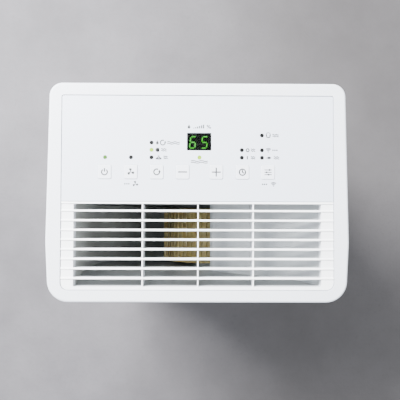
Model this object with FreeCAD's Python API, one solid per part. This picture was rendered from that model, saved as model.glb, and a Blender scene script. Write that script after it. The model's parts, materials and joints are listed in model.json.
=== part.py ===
import FreeCAD, Part
import math
import os
from FreeCAD import Vector

# Free-standing dehumidifier, 24 litres a day class.  All sizes are in millimetres.
# X runs to the user's right, Y towards the rear, Z up.  The origin is on the floor under the middle.

# ---------------------------------------------------------------- casing
HEIGHT = 615.0
FRONT_Y = -142.0
REAR_Y = 142.0
SEAM_Y = -65.0                # widest line of the plan, where the front and rear casings meet
FRONT_HALF = 192.0            # half width at the front, at the seam and at the rear
SEAM_HALF = 196.0
REAR_HALF = 192.3
FRONT_CORNER = 28.0
REAR_CORNER = 17.0
SEAM_ROUND = 150.0
WALL = 2.5
SEAM_GAP = 0.8
COVER_Z = 577.0               # bottom edge of the top cover
SKIRT_Z = (18.0, 48.0)        # base pan's outer skirt
FLOOR_Z = (42.0, 45.0)        # base pan's floor
LIP = (2.6, 4.6)              # inner locating lips, as insets from the outline

# ---------------------------------------------------------------- top recess, panel and grille
PLATE_Z = 611.0               # underside of the cover's top plate
RECESS_X = 176.5
RECESS_Y = (-126.4, 126.0)
RECESS_CORNERS = [10.0, 10.0, 3.0, 3.0]
LEDGE_Z = (608.5, 611.7)
GROOVE = 0.8
SPLIT_Y = -12.1               # line between the grille and the control panel
PANEL_Z = (611.7, 614.2)

GRILLE_X = 160.0              # half width of the air openings
GRILLE_Y = (-121.5, -15.1)
GRILLE_STRIP_Z = 613.6        # top of the plain end strips
SLAT_TOP_Z = 614.8
SLAT_FOOT_Z = 597.0
SLAT_WIDTH = 2.7
SLAT_COUNT = 8
SLAT_FIRST_Y = -24.1
SLAT_PITCH = 12.42
RIB_X = (-71.0, 0.6, 72.0)
RIB_WIDTH = 1.7
RIB_Z = (597.5, 613.9)
RIB_WEB_Z = 585.0             # foot of the ribs' webs, inside the duct
SKIRT_FOOT_Z = 598.0

# ---------------------------------------------------------------- controls
BUTTON_SIZE = (17.5, 18.5)
BUTTON_Y = 26.1
BUTTON_X = {
    "button_power": -120.3,
    "button_fan": -86.5,
    "button_mode": -53.0,
    "button_minus": -19.5,
    "button_plus": 23.9,
    "button_timer": 57.8,
    "button_function": 91.0,
}
BUTTON_TOP_Z = 615.1
BUTTON_FLANGE_Z = (609.4, 611.3)
BUTTON_STEM_Z = 606.6
SWITCH_TOP_Z = 605.5
BOARD_Z = (599.0, 600.6)
BOARD = (-140.0, 140.0, 4.0, 98.0)
LENS_R = 2.6
LENS_TOP_Z = 614.4
LAMP_ROWS = (45.0, 54.8, 64.2, 74.0)
LIT_LAMPS = [(-119.8, 0), (-59.9, 1), (2.2, 0)]
DARK_LAMPS = [(-86.4, 0), (-59.9, 2), (-59.9, 0), (57.1, 1), (57.1, 0), (83.2, 3), (83.2, 1), (83.2, 0)]
DISPLAY_X = 1.7
DISPLAY_Y = 65.6
DISPLAY_SIZE = (31.5, 22.8)
DISPLAY_FACE_Z = 613.2
DIGIT_SIZE = (6.9, 14.7)
DIGIT_X = (-8.2, 7.0)         # digit centres, from the middle of the display
DIGIT_DROP = 0.8              # digit centres are this far below the display's middle
DIGIT_STROKE = 1.5
DIGIT_SLANT = 0.13
DIGITS = ("acdefg", "acdfg")  # lit bars of a 6 and of a 5

# ---------------------------------------------------------------- blower
WHEEL_X = 29.0
WHEEL_Z = 435.0
WHEEL_R = 82.0
WHEEL_Y = (-100.0, -20.0)
BLADE_COUNT = 64
BLADE_ROOT_R = 70.0
DISH_R = 54.0
DISH_END_Y = -58.0
SHAFT_R = 4.0
RUNNING_GAP = 0.05
TONGUE_DEG = 96.5             # where the scroll starts, counter-clockwise from +X seen from the front
SCROLL_START_R = 95.0
SCROLL_GROWTH = 0.3436        # millimetres of radius for each degree
SCROLL_TURN = (8.5, 276.5)
DUCT_TOP_Z = 597.0
DUCT_X = (-163.0, 162.0)
INLET_Y = (-14.0, -12.0)
FRONT_WALL_Y = -108.0         # inner face of the duct's front wall
FRONT_WALL_BEND_Z = 536.0
FRONT_WALL_TOP_Y = -122.2
SHEET = 2.0

# ---------------------------------------------------------------- cold side
COIL_X = 148.0
COIL_Z = (322.0, 568.0)
CONDENSER_Y = (62.0, 90.0)
EVAPORATOR_Y = (90.0, 118.0)
FIN_COUNT = 40
FIN_THICK = 0.5
TUBE_COUNT = 8
TUBE_PITCH = 30.0
TUBE_FIRST_Z = 340.0
TUBE_R = 3.5
TRAY = (-156.0, 156.0, 58.0, 122.0)
TRAY_Z = (300.0, 318.0)
TROUGH_X = (-186.0, -167.0)
TROUGH_FRONT_Y = -58.0
DRIP = (-175.0, -50.0)
FILTER_X = (-152.0, 188.0)
FILTER_Y = (119.5, 123.5)
FILTER_Z = (322.0, 566.0)
INTAKE_X = 150.0
INTAKE_Z = (325.0, 565.0)

# ---------------------------------------------------------------- compressor
COMPRESSOR = (60.0, 74.0)
COMPRESSOR_R = 52.0
COMPRESSOR_Z = (66.0, 262.0)
FOOT_REACH = 62.0
FOOT_ANGLES = (0.0, 120.0, 240.0)
STUD_R = 3.0
ACCUMULATOR = (-16.0, 74.0)

# ---------------------------------------------------------------- bucket
BAY_CEILING_Z = (262.0, 264.0)
PARTITION_Y = (6.0, 8.0)
BUCKET_FRONT_Z = (50.0, 255.5)
TANK = (-184.0, 184.0, -134.0, -3.0)
TANK_CORNERS = [15.0, 15.0, 15.0, 15.0]
TANK_Z = (52.0, 196.0)
LID_Z = (196.0, 198.0)
POUR_HOLE = (-180.0, -120.0, -95.0, -20.0)
BAIL_PIVOT = (-60.0, 204.0)
BAIL_ARM = 46.0
BAIL_X = 115.0
FLOAT_PIVOT = (-20.0, 188.0)
FLOAT_X = (108.0, 132.0)
PULL_X = 60.0
PULL_Z = (222.0, 248.0)
PULL_DEPTH = 22.0
WINDOW_Z = (70.0, 190.0)
WINDOW_HALF = 9.0

# ---------------------------------------------------------------- rear, sides and casters
DRAIN = (-125.0, 265.0)
DRAIN_HALF = 25.0
DRAIN_DEPTH = 25.0
SPIGOT_R = 8.0
SPIGOT_END_Y = 137.0
CORD = (150.0, 95.0)
CORD_HALF = 17.0
CORD_DEPTH = 16.0
CORD_R = 3.6
CUP_Y = (-45.0, 55.0)
CUP_Z = (498.0, 538.0)
CUP_FLOOR_X = 167.0
SCREWS = [(-168.0, 62.0), (168.0, 62.0), (-168.0, 571.0), (168.0, 571.0)]
CASTERS = {"front_left": (-150.0, -105.0), "front_right": (150.0, -105.0),
           "rear_left": (-150.0, 105.0), "rear_right": (150.0, 105.0)}
CASTER_R = 15.0
CASTER_WIDTH = 12.0
CASTER_TRAIL = 9.0
STEM_R = 4.0
BOSS_Z = (36.0, 51.0)

PLANES = {
    "XY": lambda u, v, w: Vector(u, v, w),
    "XZ": lambda u, v, w: Vector(u, w, v),
    "YZ": lambda u, v, w: Vector(w, u, v),
}


# ================================================================ plain shapes
def block(x0, x1, y0, y1, z0, z1):
    return Part.makeBox(x1 - x0, y1 - y0, z1 - z0, Vector(x0, y0, z0))


def rod(start, end, radius):
    along = Vector(*end) - Vector(*start)
    return Part.makeCylinder(radius, along.Length, Vector(*start), along)


def pipe(start, end, outer, inner):
    return rod(start, end, outer).cut(rod(start, end, inner))


def rect(u0, u1, v0, v1):
    return [(u0, v0), (u1, v0), (u1, v1), (u0, v1)]


def rounded_corner(before, here, after, radius):
    """Start, middle and end of the arc that rounds the corner here."""
    to_before = (before - here).normalize()
    to_after = (after - here).normalize()
    half = to_before.getAngle(to_after) / 2
    bisector = (to_before + to_after).normalize()
    centre = here + bisector * (radius / math.sin(half))
    reach = radius / math.tan(half)
    return here + to_before * reach, centre - bisector * radius, here + to_after * reach


def rounded_edges(corners, radii, closed):
    """Lines through the corners, with an arc of the given radius at each."""
    count = len(corners)
    edges = []
    last = None
    first = None
    for index, here in enumerate(corners):
        is_end = not closed and index in (0, count - 1)
        if is_end or radii[index] <= 0:
            start, end = here, here
        else:
            start, middle, end = rounded_corner(corners[index - 1], here, corners[(index + 1) % count],
                                                radii[index])
        if last is not None and (start - last).Length > 1e-6:
            edges.append(Part.makeLine(last, start))
        if end is not start:
            edges.append(Part.Arc(start, middle, end).toShape())
        if first is None:
            first = start
        last = end
    if closed:
        edges.append(Part.makeLine(last, first))
    return edges


def slab(plane, points, radii, low, high):
    """A flat outline with rounded corners, given thickness along the plane's normal."""
    place = PLANES[plane]
    if not isinstance(radii, (list, tuple)):
        radii = [radii] * len(points)
    corners = [place(u, v, low) for u, v in points]
    outline = Part.Wire(rounded_edges(corners, radii, closed=True))
    return Part.Face(outline).extrude(place(0, 0, high - low))


def bent_rod(points, bend, radius):
    """A round rod along straight runs joined by tangent arcs."""
    corners = [Vector(*point) for point in points]
    path = Part.Wire(rounded_edges(corners, [bend] * len(corners), closed=False))
    along = corners[1] - corners[0]
    profile = Part.Wire(Part.makeCircle(radius, corners[0], along))
    return path.makePipeShell([profile], True, False)


def group(solids):
    return Part.makeCompound(solids)


def mirrored(shape):
    return shape.mirror(Vector(0, 0, 0), Vector(1, 0, 0))


def edges_at(shape, z):
    return [edge for edge in shape.Edges
            if abs(edge.BoundBox.ZMin - z) < 1e-3 and abs(edge.BoundBox.ZMax - z) < 1e-3]


# ================================================================ the casing's plan outline
OUTLINE = [(REAR_HALF, REAR_Y), (-REAR_HALF, REAR_Y), (-SEAM_HALF, SEAM_Y),
           (-FRONT_HALF, FRONT_Y), (FRONT_HALF, FRONT_Y), (SEAM_HALF, SEAM_Y)]
OUTLINE_ROUNDS = [REAR_CORNER, REAR_CORNER, SEAM_ROUND, FRONT_CORNER, FRONT_CORNER, SEAM_ROUND]


def inset_outline(distance):
    """The casing's outline moved inwards by a distance."""
    moved = []
    count = len(OUTLINE)
    for index in range(count):
        here = Vector(*OUTLINE[index], 0)
        before = (here - Vector(*OUTLINE[index - 1], 0)).normalize()
        after = (Vector(*OUTLINE[(index + 1) % count], 0) - here).normalize()
        normals = Vector(-before.y - after.y, before.x + after.x, 0)
        shift = distance / (1 + before.dot(after))
        moved.append((here.x + normals.x * shift, here.y + normals.y * shift))
    return moved


def casing_block(inset, low, high):
    rounds = [radius - inset for radius in OUTLINE_ROUNDS]
    return slab("XY", inset_outline(inset), rounds, low, high)


def casing_ring(outer_inset, inner_inset, low, high):
    return casing_block(outer_inset, low, high).cut(casing_block(inner_inset, low - 1, high + 1))


def between_y(y0, y1):
    return block(-220, 220, y0, y1, 0, HEIGHT)


def casing_half_width(y):
    """Half width of the rear casing's outside at a given depth."""
    share = (y - SEAM_Y) / (REAR_Y - SEAM_Y)
    return SEAM_HALF + (REAR_HALF - SEAM_HALF) * share


# ================================================================ top cover and grille
def screw_post(x, z, y_front):
    return block(x - 7, x + 7, y_front, REAR_Y - LIP[0], z - 6, z + 6)


def top_cover():
    edge_round = 3.0
    ledge_front_y = -124.9
    ledge_rear_y = 122.0
    ledge_x = 172.5
    lip_top = COVER_Z + 8
    lip_foot = COVER_Z - 8
    body = casing_block(0, COVER_Z, HEIGHT)
    body = body.makeFillet(edge_round, edges_at(body, HEIGHT))
    body = body.cut(casing_block(WALL, COVER_Z - 1, PLATE_Z))
    recess = rect(-RECESS_X, RECESS_X, *RECESS_Y)
    body = body.cut(slab("XY", recess, RECESS_CORNERS, PLATE_Z - 1, HEIGHT + 1))
    ledge = block(-RECESS_X - 4, RECESS_X + 4, RECESS_Y[0] - 4, RECESS_Y[1] + 4, *LEDGE_Z)
    ledge = ledge.cut(block(-ledge_x, ledge_x, ledge_front_y, ledge_rear_y, *LEDGE_Z))
    crossbar = block(-RECESS_X, RECESS_X, SPLIT_Y - 0.7, SPLIT_Y + 7.5, *LEDGE_Z)
    lip = casing_ring(LIP[0], LIP[1], lip_foot, COVER_Z)
    lip_root = casing_ring(WALL - 0.1, LIP[1], COVER_Z, lip_top)
    posts = []
    for x, z in SCREWS[2:]:
        posts.append(screw_post(x, z, 125).fuse(block(x - 7, x + 7, 125, REAR_Y - LIP[1], z, PLATE_Z)))
    holes = [rod((x, 124, z), (x, REAR_Y, z), 1.7) for x, z in SCREWS[2:]]
    return body.fuse([ledge, crossbar, lip, lip_root] + posts).cut(holes).removeSplitter()


def outlet_grille():
    outer_x = RECESS_X - GROOVE
    outer_y = (RECESS_Y[0] + GROOVE, SPLIT_Y - GROOVE / 2)
    opening = slab("XY", rect(-GRILLE_X, GRILLE_X, *GRILLE_Y), 1.5, SLAT_FOOT_Z - 5, HEIGHT)
    strip = slab("XY", rect(-outer_x, outer_x, *outer_y), [9.2, 9.2, 0.5, 0.5], LEDGE_Z[1], GRILLE_STRIP_Z)
    skirt = block(-GRILLE_X - 2, GRILLE_X + 2, GRILLE_Y[0] - 1.7, GRILLE_Y[1] + 1.9, SKIRT_FOOT_Z, LEDGE_Z[1])
    frame = strip.fuse(skirt).cut(opening)
    back_bar = slab("YZ", rect(GRILLE_Y[1], outer_y[1], LEDGE_Z[1], SLAT_TOP_Z), [0, 0, 0.6, 0.6],
                    -outer_x, outer_x)
    half = SLAT_WIDTH / 2
    pieces = [back_bar]
    for index in range(SLAT_COUNT):
        y = SLAT_FIRST_Y - SLAT_PITCH * index
        blade = [(y - 1.1, SLAT_FOOT_Z), (y + 1.1, SLAT_FOOT_Z),
                 (y + half, SLAT_TOP_Z), (y - half, SLAT_TOP_Z)]
        ridge = rect(y - half, y + half, LEDGE_Z[1] + 0.4, SLAT_TOP_Z)
        pieces.append(slab("YZ", blade, [0.6, 0.6, 0.9, 0.9], -GRILLE_X - 1, GRILLE_X + 1))
        pieces.append(slab("YZ", ridge, [0, 0, 0.9, 0.9], -outer_x, outer_x))
    rib_half = RIB_WIDTH / 2
    web = [(GRILLE_Y[0] + 5, RIB_WEB_Z), (GRILLE_Y[1] - 1, RIB_WEB_Z),
           (GRILLE_Y[1] - 1, RIB_Z[0] + 1), (GRILLE_Y[0] + 1, RIB_Z[0] + 1)]
    for x in RIB_X:
        rib = rect(x - rib_half, x + rib_half, *RIB_Z)
        pieces.append(slab("XZ", rib, [0, 0, 0.6, 0.6], GRILLE_Y[0] - 1, GRILLE_Y[1] + 1))
        pieces.append(slab("YZ", web, 0, x - rib_half, x + rib_half))
    return frame.fuse(pieces).removeSplitter()


# ================================================================ control panel
def around(x, y, width, depth, corner, low, high):
    """A rounded block centred on a point of the panel."""
    points = rect(x - width / 2, x + width / 2, y - depth / 2, y + depth / 2)
    return slab("XY", points, corner, low, high)


def control_panel():
    gap = 0.4
    post_r = 3.0
    low, high = PANEL_Z
    outline = rect(-RECESS_X + GROOVE, RECESS_X - GROOVE, SPLIT_Y + GROOVE / 2, RECESS_Y[1] - GROOVE)
    panel = slab("XY", outline, [0.5, 0.5, 2.2, 2.2], low, high)
    holes = []
    for x in BUTTON_X.values():
        holes.append(around(x, BUTTON_Y, BUTTON_SIZE[0] + gap, BUTTON_SIZE[1] + gap, 2.3, low - 1, high + 1))
    for x, row in LIT_LAMPS + DARK_LAMPS:
        y = LAMP_ROWS[row]
        holes.append(rod((x, y, low - 1), (x, y, high + 1), LENS_R + 0.05))
    holes.append(around(DISPLAY_X, DISPLAY_Y, DISPLAY_SIZE[0] + 0.2, DISPLAY_SIZE[1] + 0.2, 0.8,
                        low - 1, high + 1))
    posts = [rod((x, y, BOARD_Z[1]), (x, y, low + 0.5), post_r)
             for x in (BOARD[0] + 6, BOARD[1] - 6) for y in (BOARD[2] + 6, BOARD[3] - 6)]
    return panel.cut(holes).fuse(posts)


def button(x):
    width, depth = BUTTON_SIZE
    cap = around(x, BUTTON_Y, width, depth, 2.0, BUTTON_FLANGE_Z[1] - 0.5, BUTTON_TOP_Z)
    cap = cap.makeFillet(0.95, edges_at(cap, BUTTON_TOP_Z))
    flange = around(x, BUTTON_Y, width + 3, depth + 3, 3.0, *BUTTON_FLANGE_Z)
    stem = rod((x, BUTTON_Y, BUTTON_STEM_Z), (x, BUTTON_Y, BUTTON_FLANGE_Z[0] + 0.5), 2.5)
    return cap.fuse([flange, stem])


def control_board():
    return slab("XY", rect(*BOARD), 2.0, *BOARD_Z)


def tact_switches():
    body_top = SWITCH_TOP_Z - 0.4
    switches = []
    for x in BUTTON_X.values():
        body = block(x - 3, x + 3, BUTTON_Y - 3, BUTTON_Y + 3, BOARD_Z[1], body_top)
        plunger = rod((x, BUTTON_Y, body_top - 0.2), (x, BUTTON_Y, SWITCH_TOP_Z), 1.7)
        switches.append(body.fuse(plunger))
    return group(switches)


def indicator_lenses(lamps):
    lenses = []
    for x, row in lamps:
        y = LAMP_ROWS[row]
        lens = rod((x, y, BOARD_Z[1]), (x, y, LENS_TOP_Z), LENS_R)
        lenses.append(lens.makeFillet(0.3, edges_at(lens, LENS_TOP_Z)))
    return group(lenses)


def digit_bar(name, x, y):
    """One bar of a slanted seven-bar digit centred at (x, y)."""
    half_w = DIGIT_SIZE[0] / 2
    half_h = DIGIT_SIZE[1] / 2
    gap = 0.5
    thin = DIGIT_STROKE / 2
    ends = {
        "a": ((-half_w, half_h), (half_w, half_h)), "g": ((-half_w, 0), (half_w, 0)),
        "d": ((-half_w, -half_h), (half_w, -half_h)), "f": ((-half_w, 0), (-half_w, half_h)),
        "e": ((-half_w, -half_h), (-half_w, 0)), "b": ((half_w, 0), (half_w, half_h)),
        "c": ((half_w, -half_h), (half_w, 0)),
    }
    start, end = [Vector(u, v, 0) for u, v in ends[name]]
    along = (end - start).normalize()
    side = Vector(-along.y, along.x, 0) * thin
    start = start + along * gap
    end = end - along * gap
    corners = [start, start + along * thin - side, end - along * thin - side,
               end, end - along * thin + side, start + along * thin + side]
    points = [(x + p.x + DIGIT_SLANT * p.y, y + p.y) for p in corners]
    return slab("XY", points, 0, DISPLAY_FACE_Z - 0.6, DISPLAY_FACE_Z + 0.05)


def display_segments():
    bars = []
    for centre, names in zip(DIGIT_X, DIGITS):
        for name in names:
            bars.append(digit_bar(name, DISPLAY_X + centre, DISPLAY_Y - DIGIT_DROP))
    return group(bars)


def display_module(segments):
    body = around(DISPLAY_X, DISPLAY_Y, *DISPLAY_SIZE, 0.6, BOARD_Z[1], DISPLAY_FACE_Z)
    return body.cut(segments)


def display_window():
    return around(DISPLAY_X, DISPLAY_Y, *DISPLAY_SIZE, 0.6, DISPLAY_FACE_Z + 0.15, PANEL_Z[1] - 0.1)


# ================================================================ blower and air duct
def ahead_of_front_wall():
    """The space in front of the duct's sloping front wall, which its side walls stop at."""
    points = [(-160, 200), (FRONT_WALL_Y, 200), (FRONT_WALL_Y, FRONT_WALL_BEND_Z),
              (FRONT_WALL_TOP_Y, DUCT_TOP_Z), (FRONT_WALL_TOP_Y, HEIGHT), (-160, HEIGHT)]
    return slab("YZ", points, 0, -220, 220)


def scroll_points(extra):
    """Points along the scroll, clockwise seen from the front; the radius grows steadily."""
    steps = 24
    first, last = SCROLL_TURN
    points = []
    for index in range(steps + 1):
        turn = first + (last - first) * index / steps
        radius = SCROLL_START_R + SCROLL_GROWTH * turn + extra
        angle = math.radians(TONGUE_DEG - turn)
        points.append(Vector(WHEEL_X + radius * math.cos(angle), FRONT_WALL_TOP_Y - 2,
                             WHEEL_Z + radius * math.sin(angle)))
    return points


def volute_wall():
    inner = scroll_points(0)
    outer = scroll_points(SHEET)
    inner_top = Vector(inner[-1].x, inner[-1].y, DUCT_TOP_Z)
    outer_top = Vector(outer[-1].x, outer[-1].y, DUCT_TOP_Z)
    curves = []
    for points in (inner, outer):
        spline = Part.BSplineCurve()
        spline.interpolate(points)
        curves.append(spline.toShape())
    edges = [curves[0], Part.makeLine(inner[-1], inner_top), Part.makeLine(inner_top, outer_top),
             Part.makeLine(outer_top, outer[-1]), curves[1], Part.makeLine(outer[0], inner[0])]
    section = Part.Face(Part.Wire(Part.__sortEdges__(edges)))
    wall = section.extrude(Vector(0, INLET_Y[0] - inner[0].y, 0))
    return wall.cut(ahead_of_front_wall())


def outlet_ramp():
    nose_r = 6.0
    nose = (24.5, 535.0)
    bend = (128.0, 571.0)
    end = (161.5, DUCT_TOP_Z)
    thick = 3.0
    points = [(nose[0], nose[1] + nose_r - thick), (bend[0] + 0.8, bend[1] - thick), (end[0], end[1] - 4.0),
              end, bend, (nose[0], nose[1] + nose_r)]
    y0 = FRONT_WALL_TOP_Y - 2
    sheet = slab("XZ", points, [0, 62, 0, 0, 60, 0], y0, INLET_Y[0])
    tongue = rod((nose[0], y0, nose[1]), (nose[0], INLET_Y[0], nose[1]), nose_r)
    return sheet.fuse(tongue).cut(ahead_of_front_wall()).removeSplitter()


def volute_front_plate():
    foot = BAY_CEILING_Z[1]
    points = [(FRONT_WALL_Y - SHEET, foot), (FRONT_WALL_Y, foot), (FRONT_WALL_Y, FRONT_WALL_BEND_Z),
              (FRONT_WALL_TOP_Y, DUCT_TOP_Z), (FRONT_WALL_TOP_Y - SHEET, DUCT_TOP_Z),
              (FRONT_WALL_Y - SHEET, FRONT_WALL_BEND_Z)]
    plate = slab("YZ", points, 0, *DUCT_X)
    clip_at = (-33.0, FRONT_WALL_Y + 3.5)
    clip = pipe((*clip_at, 378), (*clip_at, 386), 3.9, 1.8)
    return plate.fuse(clip)


def volute_inlet_plate():
    mouth_r = 72.0
    plate = slab("XZ", rect(*DUCT_X, BAY_CEILING_Z[1], DUCT_TOP_Z), 0, *INLET_Y)
    mouth = rod((WHEEL_X, INLET_Y[0] - 10, WHEEL_Z), (WHEEL_X, INLET_Y[1] + 1, WHEEL_Z), mouth_r)
    lip = rod((WHEEL_X, INLET_Y[0] - 4.5, WHEEL_Z), (WHEEL_X, INLET_Y[1], WHEEL_Z), mouth_r + 2)
    return plate.fuse(lip).cut(mouth)


def on_axis(y0, y1, outer, inner):
    """A ring about the wheel's axis."""
    return pipe((WHEEL_X, y0, WHEEL_Z), (WHEEL_X, y1, WHEEL_Z), outer, inner)


def blower_wheel():
    thick = 1.3
    chord = 17.0
    lean = 64.0
    low, high = WHEEL_Y
    hub = on_axis(DISH_END_Y, DISH_END_Y + 18, 10, SHAFT_R)
    dish_end = on_axis(DISH_END_Y, DISH_END_Y + 2, DISH_R, SHAFT_R)
    dish = on_axis(low, DISH_END_Y + 2, DISH_R, DISH_R - 2)
    disc = on_axis(low, low + 2, WHEEL_R, DISH_R - 2)
    ring = on_axis(high - 2, high, WHEEL_R, BLADE_ROOT_R + 3)
    blades = []
    for index in range(BLADE_COUNT):
        corner = Vector(WHEEL_R - 0.4 - chord, low + 1.5, -thick / 2)
        blade = Part.makeBox(chord, high - low - 2.5, thick, corner)
        blade.rotate(Vector(WHEEL_R - 1.0, 0, 0), Vector(0, 1, 0), lean)
        blade.rotate(Vector(0, 0, 0), Vector(0, 1, 0), 360.0 * index / BLADE_COUNT)
        blade.translate(Vector(WHEEL_X, 0, WHEEL_Z))
        blades.append(blade)
    rim = on_axis(low, high, WHEEL_R + 5, 1)
    rim = rim.cut(on_axis(low - 1, high + 1, WHEEL_R, 0.5))
    wheel = disc.fuse([ring, dish, dish_end, hub] + blades)
    return wheel.cut(rim).removeSplitter()


def fan_motor():
    can_r = 44.0
    rear = FRONT_WALL_Y
    can = rod((WHEEL_X, rear, WHEEL_Z), (WHEEL_X, DISH_END_Y - 5, WHEEL_Z), can_r)
    boss = rod((WHEEL_X, DISH_END_Y - 6, WHEEL_Z), (WHEEL_X, DISH_END_Y - 1.5, WHEEL_Z), 11)
    flange = rod((WHEEL_X, rear, WHEEL_Z), (WHEEL_X, rear + 3, WHEEL_Z), can_r + 6)
    bore = rod((WHEEL_X, rear + 1, WHEEL_Z), (WHEEL_X, DISH_END_Y, WHEEL_Z), SHAFT_R + RUNNING_GAP)
    windings = pipe((WHEEL_X, rear + 4, WHEEL_Z), (WHEEL_X, DISH_END_Y - 8, WHEEL_Z), can_r - 2, 22)
    return can.fuse([boss, flange]).cut([bore, windings])


def motor_shaft():
    return rod((WHEEL_X, FRONT_WALL_Y + 1.5, WHEEL_Z), (WHEEL_X, DISH_END_Y + 20, WHEEL_Z), SHAFT_R)


# ================================================================ heat exchangers
def tube_heights():
    return [TUBE_FIRST_Z + TUBE_PITCH * index for index in range(TUBE_COUNT)]


def plate_with_tube_holes(x0, x1, y0, y1, z0, z1, rows, hole_r):
    plate = block(x0, x1, y0, y1, z0, z1)
    holes = [rod((x0 - 1, y, z), (x1 + 1, y, z), hole_r) for y in rows for z in tube_heights()]
    return plate.cut(holes)


def fins(depth):
    middle = sum(depth) / 2
    first = plate_with_tube_holes(-COIL_X, -COIL_X + FIN_THICK, depth[0] + 0.5, depth[1] - 0.5,
                                  *COIL_Z, [middle], TUBE_R + 0.1)
    pitch = (2 * COIL_X - FIN_THICK) / (FIN_COUNT - 1)
    return group([first.translated(Vector(pitch * index, 0, 0)) for index in range(FIN_COUNT)])


def coil_tube(y):
    reach = COIL_X + 6 + TUBE_PITCH / 2
    end_x = COIL_X + 6
    points = [(end_x, y, TUBE_FIRST_Z)]
    side = -1
    heights = tube_heights()
    for low, high in zip(heights, heights[1:]):
        points.append((side * reach, y, low))
        points.append((side * reach, y, high))
        side = -side
    points.append((end_x, y, heights[-1]))
    return bent_rod(points, TUBE_PITCH / 2 - 0.1, TUBE_R)


def coil_tubes():
    return group([coil_tube(sum(CONDENSER_Y) / 2), coil_tube(sum(EVAPORATOR_Y) / 2)])


def coil_end_plates():
    rows = [sum(CONDENSER_Y) / 2, sum(EVAPORATOR_Y) / 2]
    plate = plate_with_tube_holes(COIL_X + 2, COIL_X + 3.5, CONDENSER_Y[0] - 1, EVAPORATOR_Y[1] + 0.5,
                                  TRAY_Z[0] + 2, COIL_Z[1] + 4, rows, TUBE_R + 0.1)
    return group([plate, mirrored(plate)])


def tray_space(inset, low):
    """The tray and its trough towards the bucket, as one stepped block."""
    x0, x1, y0, y1 = TRAY
    basin = block(x0 + inset, x1 - inset, y0 + inset, y1 - inset, low, TRAY_Z[1])
    link = block(TROUGH_X[0] + inset, x0 + 5, y0 + inset, y0 + 16 - inset, low, TRAY_Z[1])
    trough = block(TROUGH_X[0] + inset, TROUGH_X[1] - inset, TROUGH_FRONT_Y + inset, y0 + 16 - inset,
                   low, TRAY_Z[1])
    return basin.fuse([link, trough])


def drain_tray():
    wall = 2.0
    floor = TRAY_Z[0] + wall
    tray = tray_space(0, TRAY_Z[0]).cut(tray_space(wall, floor))
    spout = rod((*DRIP, 255), (*DRIP, floor), 5)
    bore = rod((*DRIP, 254), (*DRIP, floor + 1), 3.5)
    return tray.fuse(spout).cut(bore).removeSplitter()


# ================================================================ refrigerant circuit
def foot_places():
    x, y = COMPRESSOR
    places = []
    for angle in FOOT_ANGLES:
        turn = math.radians(angle)
        places.append((x + FOOT_REACH * math.cos(turn), y + FOOT_REACH * math.sin(turn)))
    return places


def domed_can(x, y, low, high, radius, dome):
    can = rod((x, y, low), (x, y, high), radius)
    return can.makeFillet(dome, edges_at(can, low) + edges_at(can, high))


def compressor_shell():
    x, y = COMPRESSOR
    low, high = COMPRESSOR_Z
    wall = 3.0
    weld_z = 200.0
    can = domed_can(x, y, low, high, COMPRESSOR_R, 22)
    can = can.cut(domed_can(x, y, low + wall, high - wall, COMPRESSOR_R - wall, 20))
    lower = can.cut(block(x - 70, x + 70, y - 70, y + 70, weld_z, high + 10))
    upper = can.cut(block(x - 70, x + 70, y - 70, y + 70, low - 10, weld_z))
    plate = rod((x, y, low - 3), (x, y, low), 40)
    for foot_x, foot_y in foot_places():
        arm = block(x, x + FOOT_REACH, y - 11, y + 11, low - 3, low)
        arm.rotate(Vector(x, y, 0), Vector(0, 0, 1), math.degrees(math.atan2(foot_y - y, foot_x - x)))
        plate = plate.fuse([arm, rod((foot_x, foot_y, low - 3), (foot_x, foot_y, low), 11)])
    holes = [rod((fx, fy, low - 4), (fx, fy, low + 1), STUD_R + 0.3) for fx, fy in foot_places()]
    return group([lower, upper, plate.cut(holes).removeSplitter()])


def compressor_core():
    x, y = COMPRESSOR
    inner_r = COMPRESSOR_R - 3
    stator = pipe((x, y, 135), (x, y, 215), inner_r, 20)
    rotor = rod((x, y, 138), (x, y, 212), 19)
    pump = rod((x, y, 92), (x, y, 125), inner_r)
    shaft = rod((x, y, 125), (x, y, 138), 8)
    return group([stator, rotor, pump, shaft])


def compressor_grommets():
    rings = []
    for x, y in foot_places():
        rings.append(pipe((x, y, FLOOR_Z[1]), (x, y, COMPRESSOR_Z[0] - 3), 9, STUD_R))
        rings.append(pipe((x, y, COMPRESSOR_Z[0]), (x, y, COMPRESSOR_Z[0] + 4), 8, STUD_R))
    return group(rings)


def compressor_nuts():
    nuts = []
    low = COMPRESSOR_Z[0] + 4
    for x, y in foot_places():
        corners = [(x + 5.8 * math.cos(math.radians(60 * k)), y + 5.8 * math.sin(math.radians(60 * k)))
                   for k in range(6)]
        nut = slab("XY", corners, 0, low, low + 5)
        nuts.append(nut.cut(rod((x, y, low - 1), (x, y, low + 6), STUD_R)))
    return group(nuts)


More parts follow.
